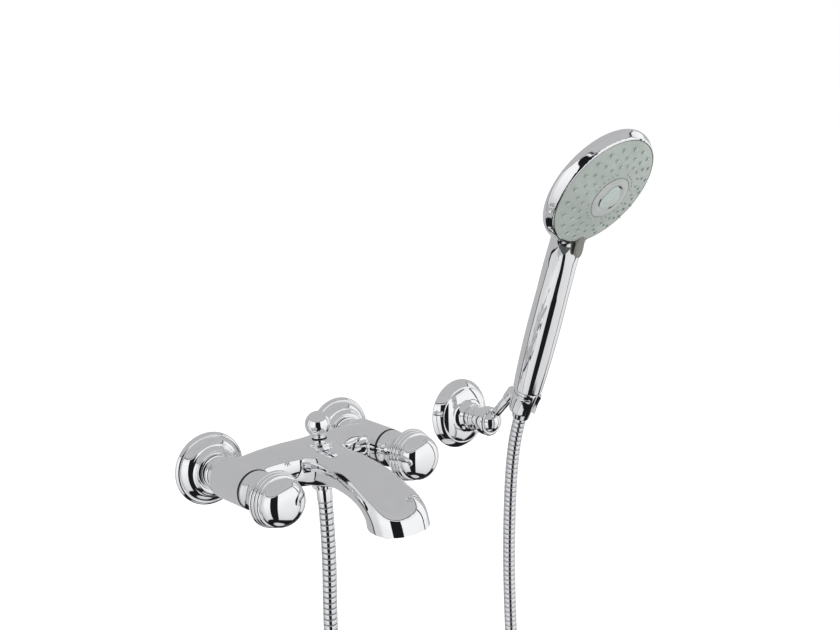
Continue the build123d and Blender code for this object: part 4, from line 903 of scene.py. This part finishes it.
def dress_shell():
    """Shell with its recess for the face, and the dark triangle inlaid in its shoulder."""
    shell = shell_form()
    only(shell)
    bpy.ops.object.duplicate()
    marker = bpy.context.active_object
    marker.name = "shell_marker"

    recess = [(0, 3), (58.5, 3), (58.5, -3.4), (0, -3.4)]
    cut(shell, turned("recess", recess, FACE_CENTRE, FACE_WAY, 192, 0))
    bore = [(0, -2), (13.4, -2), (13.4, 3.2), (0, 3.2)]
    cut(shell, turned("grip_mouth", bore, GRIP_FOOT, GRIP_WAY, 96, 0))
    shell.name = "handset_body"
    smooth(shell, 48)
    put(shell, "handset", chrome, "chromed_plastic", "handset_shell")

    rows = []
    for out in (-12.0, 20.0):
        ring = []
        for corner in range(3):
            middle = radians(-90 + 120 * corner)
            reach = Vector((cos(middle), sin(middle))) * MARKER_REACH
            for step in range(7):
                turn = middle + radians(-60 + 20 * step)
                ring.append(face_point(MARKER_X + reach.x + MARKER_CORNER_R * cos(turn),
                                       MARKER_Y + reach.y + MARKER_CORNER_R * sin(turn), out))
        rows.append(ring)
    cut(marker, skinned("prism", rows), "INTERSECT")
    lift = FACE_WAY * MARKER_LIFT * MM
    for vertex in marker.data.vertices:
        vertex.co += lift
    soften(marker, 0)
    put(marker, "handset", dark_plastic, "black_plastic", "handset_marker")


# ring radius, count, start angle, tip radius and height
NOZZLES = (
    (34.2, 21, 13.5, 1.35, 1.7),
    (42.0, 21, 5.0, 1.5, 1.9),
    (50.2, 21, 13.0, 1.65, 2.0),
)
# small tips around the centre disc: groups, tips in each, pitch and first middle in degrees,
# their distance from the centre, and a tip's radius and height
SMALL_GROUPS = 4
SMALL_TIPS = 6
SMALL_PITCH = 11
SMALL_START = 40
SMALL_RING_R = 26.2
SMALL_TIP = (0.85, 1.2)
# no nozzle stands where the selector leaves the face
SELECTOR_HALF = 6.5
SELECTOR_START = -46
# a tip's face gets the painted shade of its side when it looks less than this much to the front
SIDE_FACING = 0.45
DISC_R = 22
JET_R = 15


def nozzle_places():
    """Place, tip radius and height of every nozzle on the spray face."""
    tips = []
    for group in range(SMALL_GROUPS):
        for place in range(SMALL_TIPS):
            aside = SMALL_PITCH * (place - (SMALL_TIPS - 1) / 2)
            angle = radians(SMALL_START + 360 / SMALL_GROUPS * group + aside)
            tips.append((SMALL_RING_R * cos(angle), SMALL_RING_R * sin(angle), *SMALL_TIP))
    for ring, count, start, radius, height in NOZZLES:
        for place in range(count):
            angle = radians(start) + 2 * pi * place / count
            across, up = ring * cos(angle), ring * sin(angle)
            if not (abs(across) < SELECTOR_HALF and up < SELECTOR_START):
                tips.append((across, up, radius, height))
    return tips


def dress_face():
    """Grey-green spray plate, its nozzles, the centre ring, the centre jet and the selector."""
    dome = [(0, -3), (57.0, -3), (57.9, -2.2), (57.9, -0.6)]
    bend(dome, (56.8, 0.3), 1.1, 5)
    dome += [(reach, crown(reach)) for reach in (55.5, 52, 48, 44, 40, 36, 32, 28, 25, 22.9)]
    dome += [(22.5, crown(22.5) - 0.7), (21.9, crown(DISC_R) - 0.7), (0, crown(DISC_R) - 0.7)]
    face = turned("face_plate", dome, FACE_CENTRE, FACE_WAY, 192, 0)
    selector = lever_form()
    face.data.materials.append(face_plastic)
    selector.data.materials.append(lever_plastic)
    whole = merge_pieces("face_and_selector", [face, selector])
    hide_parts("spray_face")
    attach(whole, "spray")

    field = nozzle_field(nozzle_places())
    put(field, "spray", nozzle_rubber, "nozzle_rubber", "spray_nozzles")
    # painted shade: the tips' sides get a darker copy of the pale rubber, so that they look shaded
    field.data.materials.append(nozzle_painted_shade)
    for polygon in field.data.polygons:
        if polygon.normal.dot(FACE_WAY) < SIDE_FACING:
            polygon.material_index = 1

    low = crown(DISC_R) - 0.6
    rim = crown(JET_R)
    hub = [(7.6, low), (21.4, low), (21.8, low + 0.4), (21.5, low + 0.9), (20.9, low + 1.0)]
    hub += [(reach, crown(reach) + 0.5) for reach in (18, 15.6)]
    hub += [(15.2, rim + 0.2), (13.0, rim - 0.1), (7.6, rim - 0.1), (7.6, low)]
    put(turned("centre_disc", hub, FACE_CENTRE, FACE_WAY, 128, 0.06), "spray", centre_plastic,
        "grey_plastic", "centre_ring")
    put(centre_insert(), "spray", jet_plastic, "pale_plastic", "centre_jet")
    # the black bars are painted shade for the openings of the slots
    put(slot_shade_bars(), "spray", slot_painted_shade, "black_plastic")


def nozzle_field(tips):
    """One modelled nozzle tip, a rounded cone with a drilled end, copied to every place."""
    shapes = {}
    pieces = []
    for across, up, radius, height in tips:
        if radius not in shapes:
            profile = [(0, -0.6), (radius * 1.2, -0.6), (radius * 1.15, 0.1),
                       (radius, 0.3), (radius * 0.88, height * 0.75),
                       (radius * 0.7, height * 0.97), (radius * 0.42, height),
                       (radius * 0.34, height * 0.6), (0, height * 0.6)]
            shapes[radius] = turned("tip", profile, FACE_CENTRE, FACE_WAY, 16, 0)
            shapes[radius].hide_set(True)
        piece = bpy.data.objects.new("tip", shapes[radius].data.copy())
        bpy.context.scene.collection.objects.link(piece)
        place = face_point(across, up, crown(sqrt(across * across + up * up)))
        piece.data.transform(Matrix.Translation((place - FACE_CENTRE) * MM))
        pieces.append(piece)
    for shape in shapes.values():
        bpy.data.objects.remove(shape)
    return merge_pieces("nozzle_tips", pieces)


def lever_form():
    """Petal-shaped selector: it leaves the face as a ramp and ends broad and round."""
    outline = ((0.0, -51.6), (3.4, -52.2), (4.7, -54.5), (5.4, -58.5), (5.8, -63.0), (5.7, -66.5),
               (4.9, -69.6), (3.2, -71.8), (1.4, -72.7), (0.0, -72.9))
    right = flow(outline, 4)
    loop = right + [(-x, y) for x, y in reversed(right[1:-1])]

    def crest(y):
        share = min(max((-51.5 - y) / 20, 0), 1)
        return crown(51.5) + (8.6 - crown(51.5)) * share

    def underside(y):
        return -0.3 if y > -59 else 1.3 + (-59 - y) * 0.25

    # share of the width, of the reach and of the height, and what is added to the height
    layers = (
        (0.88, 1.0, 0.0, 0.0), (0.97, 1.0, 0.3, 0.0), (1.0, 1.0, 0.65, 0.0),
        (0.93, 0.998, 1.0, -0.3), (0.72, 0.995, 1.0, 0.05), (0.35, 0.99, 1.0, 0.2),
    )
    rows = [[face_point(x * wide, y * far, underside(y) * (1 - share) + crest(y) * share + rise)
             for x, y in loop] for wide, far, share, rise in layers]
    lever = skinned("selector", rows)
    modify(lever, "SUBSURF", levels=1, render_levels=1)
    only(lever)
    bpy.ops.object.shade_smooth()
    return lever


def centre_insert():
    """Rounded three-cornered plate with a field of fine dots; the three arc slots around it are
    made on their own.
    """
    floor = crown(JET_R) - 0.1

    def outline(size, out):
        ring = []
        for step in range(72):
            angle = 2 * pi * step / 72
            reach = size * (1 + 0.10 * cos(3 * (angle - pi / 2)))
            ring.append(face_point(reach * cos(angle), reach * sin(angle), out))
        return ring

    insert = skinned("jet_plate", [outline(12.0, floor - 1), outline(12.0, floor + 0.5),
                                   outline(11.6, floor + 0.9), outline(10.0, floor + 1.1)])
    soften(insert, 0)
    dots = []
    for ring, count in ((2.4, 6), (4.8, 12), (7.2, 18), (9.2, 24)):
        for place in range(count):
            angle = 2 * pi * place / count
            profile = [(0, floor + 0.9), (0.45, floor + 0.9), (0.36, floor + 1.35),
                       (0, floor + 1.45)]
            dots.append(turned("dot", profile, face_point(ring * cos(angle), ring * sin(angle)),
                               FACE_WAY, 8, 0))
    return merge_pieces("centre_insert", [insert, *dots])


# middle and width of each slot in degrees, and their distance from the centre
SLOTS = ((195, 36), (62, 30), (312, 36))
SLOT_REACH = 13.6


def slot_shade_bars():
    """Painted shade of three arc-shaped slots around the centre plate: thin black bars laid where
    the openings lie in shade.
    """
    bars = []
    for middle, width in SLOTS:
        rings = []
        for step in range(13):
            angle = radians(middle - width / 2 + width * step / 12)
            reach = Vector((1, 0, 0)) * cos(angle) + FACE_UP * sin(angle)
            centre = face_point(SLOT_REACH * cos(angle), SLOT_REACH * sin(angle),
                                crown(JET_R) + 0.1)
            rings.append(oval(centre, reach, FACE_WAY, 0.65, 0.35, 1.0, 12))
        bars.append(skinned("slot_bar", rings))
    return merge_pieces("centre_slot_shade", bars)


# Hidden pieces keep their CAD shape and get their own finish

def dress_hidden():
    """Finishes for the CAD pieces that stay as they are."""
    groups = (
        (brass, ("wall_union_left", "wall_union_right", "valve_cartridge_hot",
                 "valve_cartridge_cold", "valve_spindle_hot", "valve_spindle_cold",
                 "diverter_piston", "handset_inlet")),
        (bare_steel, ("bracket_plate", "bracket_screws", "handle_screw_hot", "handle_screw_cold",
                      "diverter_stem")),
        (chrome, ("aerator_housing",)),
        (rubber, ("union_washers", "valve_seals", "hose_washer_lower", "hose_washer_upper",
                  "aerator_washer")),
        (ceramic, ("ceramic_seats", "ceramic_disc_hot", "ceramic_disc_cold")),
        (dark_plastic, ("ball_liner", "flow_disc", "handset_tube")),
        (pale_plastic, ("aerator_insert",)),
    )
    for finish, names in groups:
        for name in names:
            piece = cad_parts[name]
            if piece.material_slots:
                for place in piece.material_slots:
                    place.material = finish
            else:
                piece.data.materials.append(finish)


# Studio

# height of the room, from straight down to straight up, and its grey there
ROOM_GREYS = (
    (0.0, 0.66), (0.20, 0.72), (0.36, 0.86), (0.50, 1.0), (0.62, 1.0), (0.672, 0.86),
    (0.678, 0.04), (0.686, 0.04), (0.692, 0.52), (0.85, 0.49), (1.0, 0.52),
)
# dark openings: from, to and soft edge in azimuth, and the same in elevation
OPENINGS = (
    (-17.0, 27.0, 0.8, -74.0, 29.0, 0.8),
    (-106.0, -101.0, 0.8, -40.0, 31.0, 1.0),
    (101.0, 106.0, 0.8, -40.0, 31.0, 1.0),
)
GREY_WALL = (0.50, 0.50, 0.505, 1)
DARK_OPENING = (0.012, 0.012, 0.014, 1)
WHITE = (1.0, 1.0, 1.0, 1)


def studio_sky():
    """White room with a grey ceiling and back wall, and a dark doorway behind the camera."""
    world = bpy.data.worlds.new("studio")
    bpy.context.scene.world = world
    world.use_nodes = True
    nodes, links = world.node_tree.nodes, world.node_tree.links
    nodes.clear()

    def feed(socket, value):
        if isinstance(value, bpy.types.NodeSocket):
            links.new(value, socket)
        else:
            socket.default_value = value

    def calc(operation, *values):
        node = nodes.new("ShaderNodeMath")
        node.operation = operation
        for socket, value in zip(node.inputs, values):
            feed(socket, value)
        return node.outputs[0]

    def ease(value, low, high, start, end):
        node = nodes.new("ShaderNodeMapRange")
        node.interpolation_type = "SMOOTHSTEP"
        keys = ("Value", "From Min", "From Max", "To Min", "To Max")
        for key, number in zip(keys, (value, low, high, start, end)):
            feed(node.inputs[key], number)
        return node.outputs["Result"]

    def band(value, low, high, soft):
        rise = ease(value, low - soft, low + soft, 0.0, 1.0)
        return calc("MULTIPLY", rise, ease(value, high - soft, high + soft, 1.0, 0.0))

    def mixed(share, first, second):
        node = nodes.new("ShaderNodeMix")
        node.data_type = "RGBA"
        feed(node.inputs["Factor"], share)
        feed(node.inputs[MIX_FIRST], first)
        feed(node.inputs[MIX_SECOND], second)
        return node.outputs[MIX_RESULT]

    place = nodes.new("ShaderNodeTexCoord")
    turn = nodes.new("ShaderNodeVectorRotate")
    turn.rotation_type = "Z_AXIS"
    feed(turn.inputs["Angle"], radians(-CAMERA_AZIMUTH))
    feed(turn.inputs["Vector"], place.outputs["Generated"])
    parts = nodes.new("ShaderNodeSeparateXYZ")
    feed(parts.inputs["Vector"], turn.outputs["Vector"])
    # degrees from the camera's direction, to the right as seen from the object's front, and up
    backward = calc("MULTIPLY", parts.outputs["Y"], -1)
    azimuth = calc("MULTIPLY", calc("ARCTAN2", parts.outputs["X"], backward), 180 / pi)
    elevation = calc("MULTIPLY", calc("ARCSINE", parts.outputs["Z"]), 180 / pi)

    height = calc("DIVIDE", calc("ADD", elevation, 90), 180)
    greys = [(position, (grey, grey, grey * 1.01)) for position, grey in ROOM_GREYS]
    level = ramp_of(world.node_tree, height, greys)
    # grey takes the upper wall behind the object, and half of the left corner
    front = calc("MAXIMUM", band(azimuth, -104.0, 136.0, 1.0), band(elevation, -96.0, -38.0, 1.0))
    walls = mixed(front, GREY_WALL, level)
    left_corner = calc("MULTIPLY", band(azimuth, -112.0, -66.0, 12.0), 0.5)
    walls = mixed(left_corner, walls, GREY_WALL)

    # dark floor edge, deeper behind the object, and the openings
    behind = band(calc("ABSOLUTE", azimuth), 106.0, 181.0, 6.0)
    dark = calc("MAXIMUM", band(elevation, -76.0, -56.0, 2.0),
                calc("MULTIPLY", behind, band(elevation, -76.0, -38.0, 2.0)))
    for left, right, edge, bottom, top, rim in OPENINGS:
        opening = calc("MULTIPLY", band(azimuth, left, right, edge),
                       band(elevation, bottom, top, rim))
        dark = calc("MAXIMUM", dark, opening)
    room = mixed(dark, walls, DARK_OPENING)

    seen = nodes.new("ShaderNodeLightPath")
    glow = nodes.new("ShaderNodeBackground")
    feed(glow.inputs["Color"], mixed(seen.outputs["Is Camera Ray"], room, WHITE))
    end = nodes.new("ShaderNodeOutputWorld")
    feed(end.inputs["Surface"], glow.outputs["Background"])


def soft_light(name, spot, aim, size, power):
    """Large soft lamp pointed at a place."""
    lamp = bpy.data.lights.new(name, "AREA")
    lamp.shape = "RECTANGLE"
    lamp.size, lamp.size_y = size
    lamp.energy = power
    holder = bpy.data.objects.new(name, lamp)
    bpy.context.scene.collection.objects.link(holder)
    way = (Vector(aim) - Vector(spot)).normalized()
    holder.matrix_world = (Matrix.Translation(Vector(spot))
                           @ way.to_track_quat("-Z", "Y").to_matrix().to_4x4())
    holder.visible_camera = False
    holder.visible_glossy = False


def build_studio():
    """Pale floor, sky and two soft lamps."""
    clear_selection()
    bpy.ops.mesh.primitive_plane_add(size=60, location=(0, 0, -0.62))
    floor = bpy.context.active_object
    floor.name = "studio_floor"
    settle(floor)
    finish, shader = new_finish("studio_floor")
    tone_of(shader, noise_of(shader, 3.0), ((0.3, (0.86,) * 3), (0.7, (0.9,) * 3)))
    shader.inputs["Roughness"].default_value = 0.9
    shader.inputs["Emission Color"].default_value = (1, 1, 1, 1)
    shader.inputs["Emission Strength"].default_value = 0.62
    floor.data.materials.append(finish)
    floor.visible_glossy = False
    studio_sky()
    soft_light("key", (-1.6, -2.2, 2.4), (0.1, -0.1, 0.0), (1.4, 1.0), 26)
    soft_light("fill", (2.4, -1.4, 1.2), (0.1, -0.1, 0.0), (1.2, 1.6), 16)
    bpy.context.scene.view_settings.view_transform = "Standard"


# Put together

chrome = polished_chrome("polished_chrome", (0.93, 0.935, 0.945), 0.03, 0.02)
steel = hose_finish()
brass = machined("machined_brass", (0.80, 0.62, 0.34), 0.28)
bare_steel = machined("bare_steel", (0.62, 0.62, 0.64), 0.32)
rubber = plain_plastic("black_rubber", (0.012, 0.012, 0.013), 0.5)
dark_plastic = plain_plastic("dark_grey_plastic", (0.075, 0.082, 0.082), 0.38)
lever_plastic = plain_plastic("lever_grey_plastic", (0.195, 0.19, 0.175), 0.36)
face_plastic = plain_plastic("face_grey_green", (0.36, 0.40, 0.37), 0.34, 700.0, 0.05)
centre_plastic = plain_plastic("centre_satin_grey", (0.40, 0.42, 0.41), 0.3)
jet_plastic = plain_plastic("jet_pale_grey", (0.44, 0.50, 0.47), 0.32)
nozzle_rubber = plain_plastic("nozzle_pale_rubber", (0.56, 0.63, 0.59), 0.42)
# darker copy of the nozzle rubber: painted shade on the sides of the tips
nozzle_painted_shade = plain_plastic("nozzle_tip_side_painted_shade", (0.20, 0.24, 0.22), 0.5)
pale_plastic = plain_plastic("pale_plastic", (0.7, 0.71, 0.7), 0.4)
# near-black finish of the slot bars: painted shade for the slots' openings
slot_painted_shade = plain_plastic("slot_painted_shade", (0.008, 0.008, 0.008), 0.5)
ceramic = plain_plastic("ceramic", (0.82, 0.82, 0.8), 0.15)

for hose in hang_hose():
    hose.data.materials.append(steel)
cast_mixer()
dress_inlets()
dress_handles()
dress_diverter()
dress_outlet()
dress_bracket()
dress_shell()
dress_face()
dress_hidden()
build_studio()

clear_selection()
